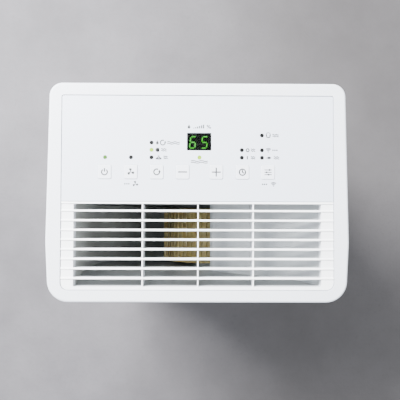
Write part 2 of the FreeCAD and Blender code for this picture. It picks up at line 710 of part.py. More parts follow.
def refrigerant_lines():
    x, y = COMPRESSOR
    acc_x, acc_y = ACCUMULATOR
    end_x = COIL_X + 6
    condenser_y = sum(CONDENSER_Y) / 2
    evaporator_y = sum(EVAPORATOR_Y) / 2
    top_z = tube_heights()[-1]
    riser_x = 182.0
    drier_y = (condenser_y + evaporator_y) / 2
    drier_x = end_x + 11
    accumulator = domed_can(acc_x, acc_y, 112, 218, 18, 12)
    discharge = bent_rod([(x, y, COMPRESSOR_Z[1]), (x, y, 281), (riser_x, condenser_y, 281),
                          (riser_x, condenser_y, top_z), (end_x, condenser_y, top_z)], 11, 4)
    suction = bent_rod([(end_x, evaporator_y, TUBE_FIRST_Z), (riser_x, evaporator_y, TUBE_FIRST_Z),
                        (riser_x, evaporator_y, 275), (acc_x, evaporator_y, 275), (acc_x, acc_y, 275),
                        (acc_x, acc_y, 218)], 11, 4)
    link = bent_rod([(acc_x, acc_y, 112), (acc_x, acc_y, 98), (x - COMPRESSOR_R, acc_y, 98)], 9, 4)
    lower_liquid = bent_rod([(end_x, condenser_y, TUBE_FIRST_Z), (drier_x, condenser_y, TUBE_FIRST_Z),
                             (drier_x, drier_y, TUBE_FIRST_Z), (drier_x, drier_y, 420)], 6, 2.5)
    upper_liquid = bent_rod([(drier_x, drier_y, 480), (drier_x, drier_y, top_z),
                             (drier_x, evaporator_y, top_z), (end_x, evaporator_y, top_z)], 6, 2.5)
    drier = domed_can(drier_x, drier_y, 420, 480, 7.5, 4)
    return group([accumulator, discharge, suction, link, lower_liquid, upper_liquid, drier])


def run_capacitor():
    x, y = -70.0, 75.0
    can = domed_can(x, y, FLOOR_Z[1] + 2, 118, 20, 3)
    saddle = block(x - 24, x + 24, y - 10, y + 10, FLOOR_Z[1], FLOOR_Z[1] + 2)
    tabs = [block(x + dx - 3, x + dx + 3, y - 0.4, y + 0.4, 118, 128) for dx in (-7, 7)]
    return group([can, saddle] + tabs)


# ================================================================ casing and chassis
def base_pan():
    skirt = casing_ring(0, 3, *SKIRT_Z)
    floor = casing_block(2.9, *FLOOR_Z)
    lip = casing_ring(*LIP, FLOOR_Z[1] - 0.5, SKIRT_Z[1] + 10).common(between_y(SEAM_Y + 1, REAR_Y))
    pieces = [floor, lip]
    for x in (-117.0, 117.0):
        pieces.append(block(x - 7, x + 7, TANK[2] + 6, TANK[3] - 4, FLOOR_Z[1] - 0.5, TANK_Z[0] - 0.3))
    for x, y in CASTERS.values():
        pieces.append(rod((x, y, BOSS_Z[0]), (x, y, BOSS_Z[1]), 9))
    for x, y in foot_places():
        pieces.append(rod((x, y, FLOOR_Z[0]), (x, y, COMPRESSOR_Z[0] + 11), STUD_R))
    for x, z in SCREWS[:2]:
        pieces.append(screw_post(x, z, 124).fuse(block(x - 7, x + 7, 124, REAR_Y - LIP[1], FLOOR_Z[0], z)))
    holes = [rod((x, y, BOSS_Z[0] - 1), (x, y, BOSS_Z[1] - 1), STEM_R + RUNNING_GAP)
             for x, y in CASTERS.values()]
    holes += [rod((x, 123, z), (x, REAR_Y, z), 1.7) for x, z in SCREWS[:2]]
    return skirt.fuse(pieces).cut(holes).removeSplitter()


def front_cabinet():
    low = BUCKET_FRONT_Z[1] + 2
    shell = casing_ring(0, WALL, low, COVER_Z - SEAM_GAP)
    return shell.common(between_y(FRONT_Y - 1, SEAM_Y - SEAM_GAP / 2))


def rear_pocket(x, z, half, depth, wall):
    """A square recess in the rear wall: its moulded walls, and the space inside it."""
    outer = slab("XZ", rect(x - half - wall, x + half + wall, z - half - wall, z + half + wall), 5 + wall,
                 REAR_Y - depth - wall, REAR_Y - 1)
    space = slab("XZ", rect(x - half, x + half, z - half, z + half), 5, REAR_Y - depth, REAR_Y + 1)
    return outer, space


def cup_outline(margin):
    return rect(CUP_Y[0] - margin, CUP_Y[1] + margin, CUP_Z[0] - margin, CUP_Z[1] + margin)


def rear_cabinet():
    seam = SEAM_Y + SEAM_GAP / 2
    shell = casing_ring(0, WALL, SKIRT_Z[1] + SEAM_GAP, COVER_Z - SEAM_GAP)
    shell = shell.common(between_y(seam, REAR_Y + 1))
    tongue_z = (BAY_CEILING_Z[1] + 0.5, COVER_Z - 9)
    tongue = casing_ring(*LIP, *tongue_z).common(between_y(SEAM_Y - 10, seam))
    tongue_root = casing_ring(WALL - 0.1, LIP[1], *tongue_z).common(between_y(seam, seam + 6))
    guides = [block(-INTAKE_X, INTAKE_X, FILTER_Y[1] + 0.8, REAR_Y - 1, z0, z1)
              for z0, z1 in ((FILTER_Z[0] - 6, INTAKE_Z[0]), (INTAKE_Z[1], FILTER_Z[1] + 2.5))]
    drain_wall, drain_space = rear_pocket(*DRAIN, DRAIN_HALF, DRAIN_DEPTH, WALL)
    cord_wall, cord_space = rear_pocket(*CORD, CORD_HALF, CORD_DEPTH, WALL)
    spaces = [drain_space, cord_space]
    spaces.append(rod((DRAIN[0], 100, DRAIN[1]), (DRAIN[0], REAR_Y, DRAIN[1]), SPIGOT_R))
    spaces.append(rod((CORD[0], 110, CORD[1]), (CORD[0], REAR_Y, CORD[1]), 8))
    spaces.append(slab("XZ", rect(-INTAKE_X, INTAKE_X, *INTAKE_Z), 6, REAR_Y - 4, REAR_Y + 1))
    spaces.append(block(180, 200, FILTER_Y[0] - 1.3, FILTER_Y[1] + 1.3, FILTER_Z[0] - 1.5, FILTER_Z[1] + 1.5))
    spaces.append(slab("YZ", cup_outline(0), 14, 180, 200))
    spaces.append(slab("YZ", cup_outline(0), 14, -200, -180))
    for x, z in SCREWS:
        spaces.append(rod((x, 130, z), (x, REAR_Y + 1, z), 1.9))
        spaces.append(rod((x, REAR_Y - 1.6, z), (x, REAR_Y + 1, z), 4))
    cabinet = shell.fuse([tongue, tongue_root, drain_wall, cord_wall] + guides)
    return cabinet.cut(spaces).removeSplitter()


def intake_grille():
    x, low, high = INTAKE_X - 0.3, INTAKE_Z[0] + 0.3, INTAKE_Z[1] - 0.3
    border = 7.0
    y0, y1 = REAR_Y - 3.6, REAR_Y - 0.4
    frame = slab("XZ", rect(-x, x, low, high), 5.7, y0, y1)
    inner_low, inner_high = low + border, high - border
    frame = frame.cut(slab("XZ", rect(-x + border, x - border, inner_low, inner_high), 3, y0 - 1, y1 + 1))
    slat_count = 22
    pitch = (inner_high - inner_low) / (slat_count + 1)
    bars = []
    for index in range(slat_count):
        z = inner_low + pitch * (index + 1)
        slat = [(y0 - 2.5, z - 2.4), (y0 - 2.5, z - 0.4), (y1, z + 1.6), (y1, z - 0.4)]
        bars.append(slab("YZ", slat, 0, -x + border - 1, x - border + 1))
    for position in (-95.0, -47.5, 0.0, 47.5, 95.0):
        bars.append(block(position - 1.5, position + 1.5, y0 - 1, y1 - 0.8, inner_low - 1, inner_high + 1))
    return frame.fuse(bars).removeSplitter()


def handle_cups():
    wall = 2.0
    mouth = 191.0
    shell = slab("YZ", cup_outline(0), 14, CUP_FLOOR_X, mouth)
    shell = shell.cut(slab("YZ", cup_outline(-wall), 14 - wall, CUP_FLOOR_X + wall, mouth + 1))
    flange = slab("YZ", cup_outline(4), 18, mouth - 3.5, mouth - 1.5)
    flange = flange.cut(slab("YZ", cup_outline(-wall), 14 - wall, mouth - 5, mouth))
    cup = shell.fuse(flange)
    return group([cup, mirrored(cup)])


def casing_screws():
    screws = []
    for x, z in SCREWS:
        head = rod((x, REAR_Y - 1.6, z), (x, REAR_Y - 0.2, z), 3.7)
        slots = [block(x - 2, x + 2, REAR_Y - 0.9, REAR_Y, z - 0.4, z + 0.4),
                 block(x - 0.4, x + 0.4, REAR_Y - 0.9, REAR_Y, z - 2, z + 2)]
        shank = rod((x, 127, z), (x, REAR_Y - 1.5, z), 1.7)
        screws.append(head.cut(slots).fuse(shank))
    return group(screws)


def bay_partition():
    half = 189.0
    wall = block(-half, half, *PARTITION_Y, FLOOR_Z[1], BAY_CEILING_Z[1])
    shelf = casing_block(LIP[0], *BAY_CEILING_Z).common(between_y(FRONT_Y, PARTITION_Y[1]))
    riser = block(-160, half, *PARTITION_Y, BAY_CEILING_Z[0], TRAY_Z[0])
    arms = [block(x - 5, x + 5, PARTITION_Y[0], TRAY[3], TRAY_Z[0] - 9, TRAY_Z[0]) for x in (-70, 135)]
    drip_hole = rod((*DRIP, 250), (*DRIP, 270), 7)
    return wall.fuse([shelf, riser] + arms).cut(drip_hole).removeSplitter()


def drain_spigot():
    x, z = DRAIN
    inner_y = REAR_Y - DRAIN_DEPTH - WALL
    tube = rod((x, 96, z), (x, SPIGOT_END_Y, z), SPIGOT_R)
    flange = rod((x, inner_y - 2.5, z), (x, inner_y, z), 13)
    shoulder = rod((x, inner_y + WALL, z), (x, inner_y + WALL + 2, z), 11)
    elbow = bent_rod([(x, 97, z), (x, 84, z), (x, 84, TRAY_Z[0])], 12, 7)
    bore = rod((x, 102, z), (x, SPIGOT_END_Y + 1, z), 5.5)
    return tube.fuse([flange, shoulder, elbow]).cut(bore)


def cord_gland():
    x, z = CORD
    wall_y = REAR_Y - CORD_DEPTH
    body = rod((x, wall_y - 12, z), (x, wall_y, z), 8)
    nut = rod((x, wall_y - 8, z), (x, wall_y - WALL, z), 11)
    collar = rod((x, wall_y, z), (x, wall_y + 4, z), 11)
    dome = Part.makeCone(9, 6.2, 9, Vector(x, wall_y + 4, z), Vector(0, 1, 0))
    bore = rod((x, wall_y - 13, z), (x, REAR_Y, z), CORD_R)
    return body.fuse([nut, collar, dome]).cut(bore).removeSplitter()


# ================================================================ filter
def filter_frame():
    border = 7.0
    frame = block(*FILTER_X, *FILTER_Y, *FILTER_Z)
    inside = (FILTER_X[0] + border, FILTER_X[1] - border, FILTER_Z[0] + border, FILTER_Z[1] - border)
    frame = frame.cut(block(inside[0], inside[1], FILTER_Y[0] - 1, FILTER_Y[1] + 1, inside[2], inside[3]))
    bars = []
    for share in (0.25, 0.5, 0.75):
        x = inside[0] + (inside[1] - inside[0]) * share
        bars.append(block(x - 1.5, x + 1.5, *FILTER_Y, inside[2] - 1, inside[3] + 1))
    for share in (1 / 3, 2 / 3):
        z = inside[2] + (inside[3] - inside[2]) * share
        bars.append(block(inside[0] - 1, inside[1] + 1, *FILTER_Y, z - 1.5, z + 1.5))
    end = block(FILTER_X[1] - 1, casing_half_width(FILTER_Y[1]) - 0.3, FILTER_Y[0] - 0.8, FILTER_Y[1] + 0.8,
                *FILTER_Z)
    frame = frame.fuse(bars + [end])
    groove = (sum(FILTER_Y) / 2 - 0.3, sum(FILTER_Y) / 2 + 0.3)
    return frame.cut(block(inside[0] - 3, inside[1] + 3, *groove, inside[2] - 3, inside[3] + 3))


def filter_mesh():
    middle = sum(FILTER_Y) / 2
    return block(FILTER_X[0] + 4.5, FILTER_X[1] - 4.5, middle - 0.3, middle + 0.3,
                 FILTER_Z[0] + 4.5, FILTER_Z[1] - 4.5)


# ================================================================ bucket
def tank_block(inset, low, high):
    x0, x1, y0, y1 = TANK
    rounds = [radius - inset for radius in TANK_CORNERS]
    return slab("XY", rect(x0 + inset, x1 - inset, y0 + inset, y1 - inset), rounds, low, high)


def bucket_tank():
    """A floor plate, and the walls that are welded round its edge."""
    low, high = TANK_Z
    floor_top = low + 3.0
    floor = tank_block(0, low, floor_top)
    walls = tank_block(0, floor_top, high).cut(tank_block(WALL, low, high + 1))
    return group([floor, walls])


def bail_bracket():
    y, z = BAIL_PIVOT
    ear = rod((BAIL_X - 3, y, z), (BAIL_X, y, z), 6)
    ear = ear.fuse(block(BAIL_X - 3, BAIL_X, y - 6, y + 6, LID_Z[0], z))
    return ear.fuse(rod((BAIL_X - 1, y, z), (BAIL_X + 6, y, z), 3))


def bucket_lid():
    y, z = FLOAT_PIVOT
    plate = tank_block(0, *LID_Z).cut(slab("XY", rect(*POUR_HOLE), 6, LID_Z[0] - 1, LID_Z[1] + 1))
    pieces = [bail_bracket(), mirrored(bail_bracket())]
    for x0 in (FLOAT_X[0] - 6, FLOAT_X[1] + 3):
        pieces.append(block(x0, x0 + 3, y - 6, y + 6, z - 6, LID_Z[1]))
    pieces.append(rod((FLOAT_X[0] - 4, y, z), (FLOAT_X[1] + 4, y, z), 2))
    return plate.fuse(pieces).removeSplitter()


def bucket_handle():
    y, z = BAIL_PIVOT
    arm_x = (BAIL_X + 0.4, BAIL_X + 4.4)
    grip_r = 5.0
    bar_y = y + BAIL_ARM
    arm = block(*arm_x, y, bar_y, z - 4, z + 4).fuse(rod((arm_x[0], y, z), (arm_x[1], y, z), 6))
    arm = arm.cut(rod((arm_x[0] - 1, y, z), (arm_x[1] + 1, y, z), 3 + RUNNING_GAP))
    grip = rod((-arm_x[1], bar_y, z), (arm_x[1], bar_y, z), grip_r)
    return grip.fuse([arm, mirrored(arm)]).removeSplitter()


def float_arm():
    y, z = FLOAT_PIVOT
    x0, x1 = FLOAT_X
    eye = rod((x0, y, z), (x1, y, z), 5)
    arm = slab("YZ", [(y, z + 2), (y - 60, z - 16), (y - 60, z - 20), (y, z - 2)], 0, x0, x1)
    block_top = z - 14
    shell = slab("XY", rect(x0 - 8, x1 + 8, y - 92, y - 52), 6, block_top - 18, block_top)
    return shell.fuse([eye, arm]).cut(rod((x0 - 1, y, z), (x1 + 1, y, z), 2 + RUNNING_GAP)).removeSplitter()


def bucket_front():
    thick = 2.8
    shell = casing_ring(0, thick, *BUCKET_FRONT_Z).common(between_y(FRONT_Y - 1, SEAM_Y - SEAM_GAP))
    pull = rect(-PULL_X, PULL_X, *PULL_Z)
    outer_pull = rect(-PULL_X - 2, PULL_X + 2, PULL_Z[0] - 2, PULL_Z[1] + 2)
    cup = slab("XZ", outer_pull, 12, FRONT_Y + 1, FRONT_Y + PULL_DEPTH + 2)
    stays = [block(x - 10, x + 10, FRONT_Y + thick - 0.5, TANK[2], TANK_Z[0] + 8, TANK_Z[1] - 8)
             for x in (-75.0, 75.0)]
    window = rect(-WINDOW_HALF - 0.1, WINDOW_HALF + 0.1, WINDOW_Z[0] - 0.1, WINDOW_Z[1] + 0.1)
    spaces = [slab("XZ", pull, 10, FRONT_Y - 1, FRONT_Y + PULL_DEPTH),
              slab("XZ", window, WINDOW_HALF, FRONT_Y - 1, FRONT_Y + thick + 1)]
    return shell.fuse([cup] + stays).cut(spaces).removeSplitter()


def level_window():
    lens = slab("XZ", rect(-WINDOW_HALF, WINDOW_HALF, *WINDOW_Z), WINDOW_HALF - 0.1,
                FRONT_Y + 0.3, FRONT_Y + 3)
    flange = slab("XZ", rect(-WINDOW_HALF - 3, WINDOW_HALF + 3, WINDOW_Z[0] - 3, WINDOW_Z[1] + 3),
                  WINDOW_HALF + 2.9, FRONT_Y + 2.8, FRONT_Y + 5)
    return lens.fuse(flange).removeSplitter()


# ================================================================ casters
def caster_fork(x, y):
    axle_y = y + CASTER_TRAIL
    crown_z = (CASTER_R * 2 + 1.6, BOSS_Z[0] - 0.4)
    ear_in = CASTER_WIDTH / 2 + 0.5
    ear_out = ear_in + 2
    stem = rod((x, y, crown_z[0]), (x, y, BOSS_Z[1] - 1.5), STEM_R)
    crown = slab("XY", rect(x - ear_out, x + ear_out, y - 8, axle_y + 6), 4, *crown_z)
    profile = [(y - 8, crown_z[1]), (axle_y - 6, CASTER_R - 6),
               (axle_y + 6, CASTER_R - 6), (axle_y + 6, crown_z[1])]
    ears = []
    for x0, x1 in ((x - ear_out, x - ear_in), (x + ear_in, x + ear_out)):
        ears.append(slab("YZ", profile, [1, 5, 5, 1], x0, x1))
    axle = rod((x - ear_out, axle_y, CASTER_R), (x + ear_out, axle_y, CASTER_R), 2)
    fork = crown.fuse([stem] + ears).cut(axle).removeSplitter()
    return group([fork, axle])


def caster_wheel(x, y):
    axle_y = y + CASTER_TRAIL
    half = CASTER_WIDTH / 2
    tread = rod((x - half, axle_y, CASTER_R), (x + half, axle_y, CASTER_R), CASTER_R)
    rims = [edge for edge in tread.Edges if edge.BoundBox.XLength < 1e-6]
    tread = tread.makeFillet(2.5, rims)
    dishes = []
    for x0, x1 in ((x - half - 1, x - half + 1.5), (x + half - 1.5, x + half + 1)):
        dishes.append(pipe((x0, axle_y, CASTER_R), (x1, axle_y, CASTER_R), CASTER_R - 4.5, 4.5))
    bore = rod((x - half - 1, axle_y, CASTER_R), (x + half + 1, axle_y, CASTER_R), 2 + RUNNING_GAP)
    return tread.cut(dishes + [bore])


# ================================================================ all sub-parts
def all_parts():
    segments = display_segments()
    parts = {
        "top_cover": top_cover(), "outlet_grille": outlet_grille(), "control_panel": control_panel(),
        "control_board": control_board(), "tact_switches": tact_switches(),
        "indicator_lenses_lit": indicator_lenses(LIT_LAMPS),
        "indicator_lenses_dark": indicator_lenses(DARK_LAMPS),
        "display_segments": segments, "display_module": display_module(segments),
        "display_window": display_window(),
        "volute_wall": volute_wall(), "outlet_ramp": outlet_ramp(),
        "volute_front_plate": volute_front_plate(), "volute_inlet_plate": volute_inlet_plate(),
        "blower_wheel": blower_wheel(), "fan_motor": fan_motor(), "motor_shaft": motor_shaft(),
        "evaporator_fins": fins(EVAPORATOR_Y), "condenser_fins": fins(CONDENSER_Y),
        "coil_tubes": coil_tubes(), "coil_end_plates": coil_end_plates(), "drain_tray": drain_tray(),
        "compressor_shell": compressor_shell(), "compressor_core": compressor_core(),
        "compressor_grommets": compressor_grommets(), "compressor_nuts": compressor_nuts(),
        "refrigerant_lines": refrigerant_lines(), "run_capacitor": run_capacitor(),
        "base_pan": base_pan(), "front_cabinet": front_cabinet(), "rear_cabinet": rear_cabinet(),
        "intake_grille": intake_grille(), "handle_cups": handle_cups(), "casing_screws": casing_screws(),
        "bay_partition": bay_partition(),
        "drain_spigot": drain_spigot(), "cord_gland": cord_gland(),
        "filter_frame": filter_frame(), "filter_mesh": filter_mesh(),
        "bucket_tank": bucket_tank(), "bucket_lid": bucket_lid(), "bucket_handle": bucket_handle(),
        "float_arm": float_arm(), "bucket_front": bucket_front(), "level_window": level_window(),
    }
    for name, x in BUTTON_X.items():
        parts[name] = button(x)
    for place, (x, y) in CASTERS.items():
        parts["caster_fork_" + place] = caster_fork(x, y)
        parts["caster_wheel_" + place] = caster_wheel(x, y)
    return parts


def main():
    os.makedirs("parts", exist_ok=True)
    for name, shape in all_parts().items():
        shape.exportStep("parts/" + name + ".step")


main()
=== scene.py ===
"""The looks of a free-standing dehumidifier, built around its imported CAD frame."""

import json
import math

import bmesh
import bpy
from mathutils import Euler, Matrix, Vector


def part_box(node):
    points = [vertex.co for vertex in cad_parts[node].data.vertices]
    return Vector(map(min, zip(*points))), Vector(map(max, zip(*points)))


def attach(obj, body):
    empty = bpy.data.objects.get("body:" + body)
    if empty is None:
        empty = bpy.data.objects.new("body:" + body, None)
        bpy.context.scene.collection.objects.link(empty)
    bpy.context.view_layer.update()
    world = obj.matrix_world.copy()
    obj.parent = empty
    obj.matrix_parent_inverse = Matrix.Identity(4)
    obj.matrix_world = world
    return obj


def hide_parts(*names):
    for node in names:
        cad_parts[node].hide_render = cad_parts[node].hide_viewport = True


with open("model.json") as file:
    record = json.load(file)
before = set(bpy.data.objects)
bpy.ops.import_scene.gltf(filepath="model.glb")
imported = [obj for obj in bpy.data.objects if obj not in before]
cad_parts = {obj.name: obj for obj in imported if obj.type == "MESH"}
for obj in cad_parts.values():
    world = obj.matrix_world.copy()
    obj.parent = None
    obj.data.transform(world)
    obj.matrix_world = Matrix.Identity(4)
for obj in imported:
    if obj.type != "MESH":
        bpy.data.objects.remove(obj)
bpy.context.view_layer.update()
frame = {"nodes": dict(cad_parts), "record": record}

MM = 0.001
NODES = frame["nodes"]

# Camera, fitted to the framing of a top view from above the middle of the object.
CAMERA_AT = (-0.0046, -0.0307, 1.315)
CAMERA_TURN_DEG = (1.6905, -0.6298, 0.1747)
CAMERA_LENS = 48.86
CAMERA_SENSOR = 36.0
CAMERA_CLIP = (0.05, 60.0)

# Light: a soft panel high at the back left, a weak one at the right, and a pale surrounding.
KEY_AT = (-1.0, 0.95, 1.95)
KEY_SIZE = 1.0
KEY_ENERGY = 340.0
FILL_AT = (1.5, -0.2, 2.6)
FILL_SIZE = 1.2
FILL_ENERGY = 25.0
LIGHT_AIM = (0.0, 0.0, 0.4)
WORLD_COLOUR = (0.91, 0.95, 1.0, 1.0)
HORIZON_STRENGTH = 2.4
ZENITH_STRENGTH = 1.0
HORIZON_TOP = 0.7               # height on the unit sphere where the overhead strength is reached

# Floor, with display colours. A painted shade colour takes over towards the right, up to its share,
# darkening the floor there.
FLOOR_RADIUS = 14.0
FLOOR_RINGS = (0.6, 1.5, 4.0, FLOOR_RADIUS)
FLOOR_SIDES = 64
FLOOR_DARK = (86, 84, 88)
FLOOR_PALE = (104, 102, 106)
FLOOR_PAINTED_SHADE = (50, 47, 44)
FLOOR_PAINTED_SHADE_SHARE = 0.55
FLOOR_PAINTED_SHADE_X = (-0.25, 0.22)

# Plain mouldings by slot: display colour, roughness, grain in cells per metre, grain depth in metres,
# colour drift, and how dusty they are near the floor.
PLASTICS = {
    "casing_white": ((208, 212, 219), 0.40, 1300.0, 0.00006, 0.012, 0.5),
    "panel_white": ((202, 208, 219), 0.33, 2600.0, 0.00001, 0.010),
    "button_white": ((212, 216, 224), 0.30, 2600.0, 0.00001, 0.008),
    "tray_plastic": ((208, 209, 204), 0.50, 900.0, 0.00005, 0.04),
    "switch_black": ((34, 34, 36), 0.45, 2000.0, 0.00002, 0.1),
    "capacitor_grey": ((150, 153, 158), 0.42, 1200.0, 0.00003, 0.05),
    "partition_grey": ((168, 170, 170), 0.55, 900.0, 0.00006, 0.05),
    "filter_grey": ((150, 154, 158), 0.50, 1400.0, 0.00005, 0.04),
    "caster_black": ((38, 38, 40), 0.48, 1400.0, 0.00005, 0.12, 0.7),
    "duct_grey": ((184, 186, 182), 0.50, 1000.0, 0.00006, 0.05),
    # duct_dark: the inlet plate's dark grey is painted shade, for the shaded gap above the wheel
    "duct_dark": ((66, 68, 66), 0.60, 1000.0, 0.00006, 0.08),
}
# the front wall's grey is painted shade: a darker copy of the white duct slot it shares
FRONT_PLATE_PLASTIC = ((156, 158, 157), 0.50, 1000.0, 0.00006, 0.05)
DISPLAY_PLASTIC = ((8, 9, 8), 0.60, 2600.0, 0.00001, 0.15)

# Metals by slot: display colour, roughness, stretch of the drawn lines, their depth in metres, and tarnish.
METALS = {
    "motor_metal": ((176, 178, 180), 0.38, (1.0, 0.05, 1.0), 0.00002, 0.12),
    "shaft_steel": ((196, 198, 200), 0.20, (0.1, 1.0, 0.1), 0.00002, 0.12),
    "fin_aluminium": ((208, 211, 214), 0.34, (1.0, 1.0, 0.06), 0.00002, 0.12),
    "tube_copper": ((198, 122, 84), 0.30, (0.2, 1.0, 0.2), 0.00002, 0.35),
    "plate_steel": ((178, 182, 184), 0.36, (1.0, 1.0, 0.2), 0.00003, 0.20),
    "zinc_steel": ((186, 188, 190), 0.32, (1.0, 0.3, 1.0), 0.00003, 0.25),
}

# The dust near the floor, and the places in metres where other finishes change.
DUST_COLOUR = (150, 144, 134)
DUST_Z = (0.015, 0.11)
# below the slats' tops the grille's white is darkened as painted shade
SLAT_TOP_Z = (0.6128, 0.6146)
COMPRESSOR_TOP_Z = (0.2, 0.27)
POWER_LAMP_EDGE_X = (-0.1, -0.08)

# Emission strengths.
DIGIT_GLOW = 1.3
LAMP_GLOW = 0.3

# Filter net, in millimetres.
NET_PITCH = 3.0
NET_STRAND = 0.55
NET_THICKNESS = 0.28
NET_LIFT = 0.12                 # how far each layer of strands lies from the net's middle

# Printed marks, in millimetres. Symbols are drawn small, and then scaled.
INK_LOW = -0.02
INK_HIGH = 0.05
STROKE = 1.0
LABEL_STROKE = 1.1
ROW_Y = (45.0, 54.8, 64.2, 74.0)
BUTTON_Y = 26.1
HUMIDITY_MARK_Y = 85.0
HOLD_MARK_Y = 10.6
LABEL_SCALE = 1.35
BUTTON_MARK_SCALE = 1.6
WAVE_ROWS = (-0.8, 0.8)
WAVE_HEIGHT = 0.42
WAVE_STEPS = 16
SCALE_BARS = 6
HOLD_DOTS = 3
FAN_SIZE = 2.7
HOLD_FAN_SIZE = 2.6
FAN_BLADE = (
    (0.2, 0.04),
    (0.5, 0.4),
    (0.85, 0.56),
    (1.08, 0.3),
    (1.06, -0.1),
    (0.75, -0.3),
    (0.45, -0.2),
    (0.2, -0.06),
)
LEVEL_TICKS = 9
LEVEL_MARGIN = 12.0
LONG_TICK = 6.0
SHORT_TICK = 3.5


# ---------------------------------------------------------------- material tools


def srgb(red, green, blue):
    """A colour in 0..255 display values as linear red, green, blue, alpha."""
    linear = []
    for value in (red, green, blue):
        part = value / 255.0
        linear.append(part / 12.92 if part <= 0.04045 else ((part + 0.055) / 1.055) ** 2.4)
    return (*linear, 1.0)


def shade(colour, factor):
    """The colour made lighter or darker by a factor."""
    return (*(min(1.0, part * factor) for part in colour[:3]), 1.0)


def start_material(name, roughness, metallic=0.0, **sockets):
    """A new material with constant values set on its shader. Returns its tree and shader."""
    material = bpy.data.materials.new(name)
    material.use_nodes = True
    tree = material.node_tree
    shader = tree.nodes["Principled BSDF"]
    shader.inputs["Roughness"].default_value = roughness
    shader.inputs["Metallic"].default_value = metallic
    for socket, value in sockets.items():
        shader.inputs[socket.replace("_", " ")].default_value = value
    return material, tree, shader


def add_node(tree, kind, **settings):
    """A new node with its own settings."""
    node = tree.nodes.new(kind)
    for setting, value in settings.items():
        setattr(node, setting, value)
    return node


def object_place(tree, stretch=(1.0, 1.0, 1.0)):
    """Object coordinates in metres, stretched."""
    source = add_node(tree, "ShaderNodeTexCoord")
    mapping = add_node(tree, "ShaderNodeMapping")
    mapping.inputs["Scale"].default_value = stretch
    tree.links.new(source.outputs["Object"], mapping.inputs["Vector"])
    return mapping.outputs["Vector"]


def noise(tree, scale, detail=2.0, rough=0.5, stretch=(1.0, 1.0, 1.0)):
    """A noise value between 0 and 1. The scale is in cells per metre."""
    texture = add_node(tree, "ShaderNodeTexNoise")
    texture.inputs["Scale"].default_value = scale
    texture.inputs["Detail"].default_value = detail
    texture.inputs["Roughness"].default_value = rough
    tree.links.new(object_place(tree, stretch), texture.inputs["Vector"])
    return texture.outputs["Fac"]


def cells(tree, scale):
    """A cell pattern's distance value."""
    texture = add_node(tree, "ShaderNodeTexVoronoi", feature="F1")
    texture.inputs["Scale"].default_value = scale
    tree.links.new(object_place(tree), texture.inputs["Vector"])
    return texture.outputs["Distance"]


def axis_value(tree, axis):
    """One coordinate of the surface, in metres."""
    source = add_node(tree, "ShaderNodeTexCoord")
    split = add_node(tree, "ShaderNodeSeparateXYZ")
    tree.links.new(source.outputs["Object"], split.inputs["Vector"])
    return split.outputs[axis]


def spread(tree, value, low, high, start=0.0, end=1.0):
    """The value moved from the range start..end to low..high."""
    ranged = add_node(tree, "ShaderNodeMapRange")
    ranged.inputs["From Min"].default_value = start
    ranged.inputs["From Max"].default_value = end
    ranged.inputs["To Min"].default_value = low
    ranged.inputs["To Max"].default_value = high
    tree.links.new(value, ranged.inputs["Value"])
    return ranged.outputs["Result"]


def combine(tree, operation, first, second):
    """Two values put together by a Math node. The second may be a number."""
    maths = add_node(tree, "ShaderNodeMath", operation=operation)
    tree.links.new(first, maths.inputs[0])
    if isinstance(second, float):
        maths.inputs[1].default_value = second
    else:
        tree.links.new(second, maths.inputs[1])
    return maths.outputs["Value"]


def blend_colours(tree, factor, first, second):
    """A mix of two colours, each a constant or a socket."""
    mixer = add_node(tree, "ShaderNodeMix", data_type="RGBA")
    tree.links.new(factor, mixer.inputs["Factor"])
    for socket, colour in ((mixer.inputs[6], first), (mixer.inputs[7], second)):
        if isinstance(colour, tuple):
            socket.default_value = colour
        else:
            tree.links.new(colour, socket)
    return mixer.outputs[2]


def feed(tree, shader, socket, value):
    """Gives one of the shader's sockets a value that varies over the surface."""
    tree.links.new(value, shader.inputs[socket])


def raise_surface(tree, shader, height, depth):
    """Bump from a height value, with the depth in metres."""
    bump = add_node(tree, "ShaderNodeBump")
    bump.inputs["Strength"].default_value = 1.0
    bump.inputs["Distance"].default_value = depth
    tree.links.new(height, bump.inputs["Height"])
    feed(tree, shader, "Normal", bump.outputs["Normal"])


def give_node(node, material):
    """Puts a material on one CAD node."""
    NODES[node].data.materials.clear()
    NODES[node].data.materials.append(material)


def give(slot_name, material):
    """Puts a material on every CAD node that the record gives that slot."""
    for subpart in frame["record"]["subparts"]:
        if subpart["material_slot"] == slot_name:
            give_node(subpart["node"], material)


# ---------------------------------------------------------------- moulded plastics


def moulded(name, colour, roughness, grain, depth, mottle, dust=0.0, **sockets):
    """Moulded plastic: faint colour drift, uneven sheen, and a fine eroded grain."""
    material, tree, shader = start_material(name, roughness, **sockets)
    colour = srgb(*colour)
    drift = noise(tree, 9.0, 3.0)
    body = blend_colours(tree, drift, shade(colour, 1.0 - mottle), shade(colour, 1.0 + mottle))
    speck = spread(tree, noise(tree, 420.0, 2.0), 0.0, 0.5, 0.62, 0.8)
    body = blend_colours(tree, speck, body, shade(colour, 1.0 - 2.0 * mottle))
    if dust > 0.0:
        low = spread(tree, axis_value(tree, "Z"), dust, 0.0, *DUST_Z)
        patch = combine(tree, "MULTIPLY", low, noise(tree, 45.0, 4.0))
        body = blend_colours(tree, patch, body, srgb(*DUST_COLOUR))
    feed(tree, shader, "Base Color", body)
    sheen = spread(tree, noise(tree, 60.0, 3.0), roughness - 0.05, roughness + 0.07)
    feed(tree, shader, "Roughness", sheen)
    raise_surface(tree, shader, noise(tree, grain, 3.0, 0.6), depth)
    return material


def paint_plastics():
    """Every plain moulding: the casing, the duct and the inner parts."""
    for slot_name, finish in PLASTICS.items():
        give(slot_name, moulded(slot_name, *finish))


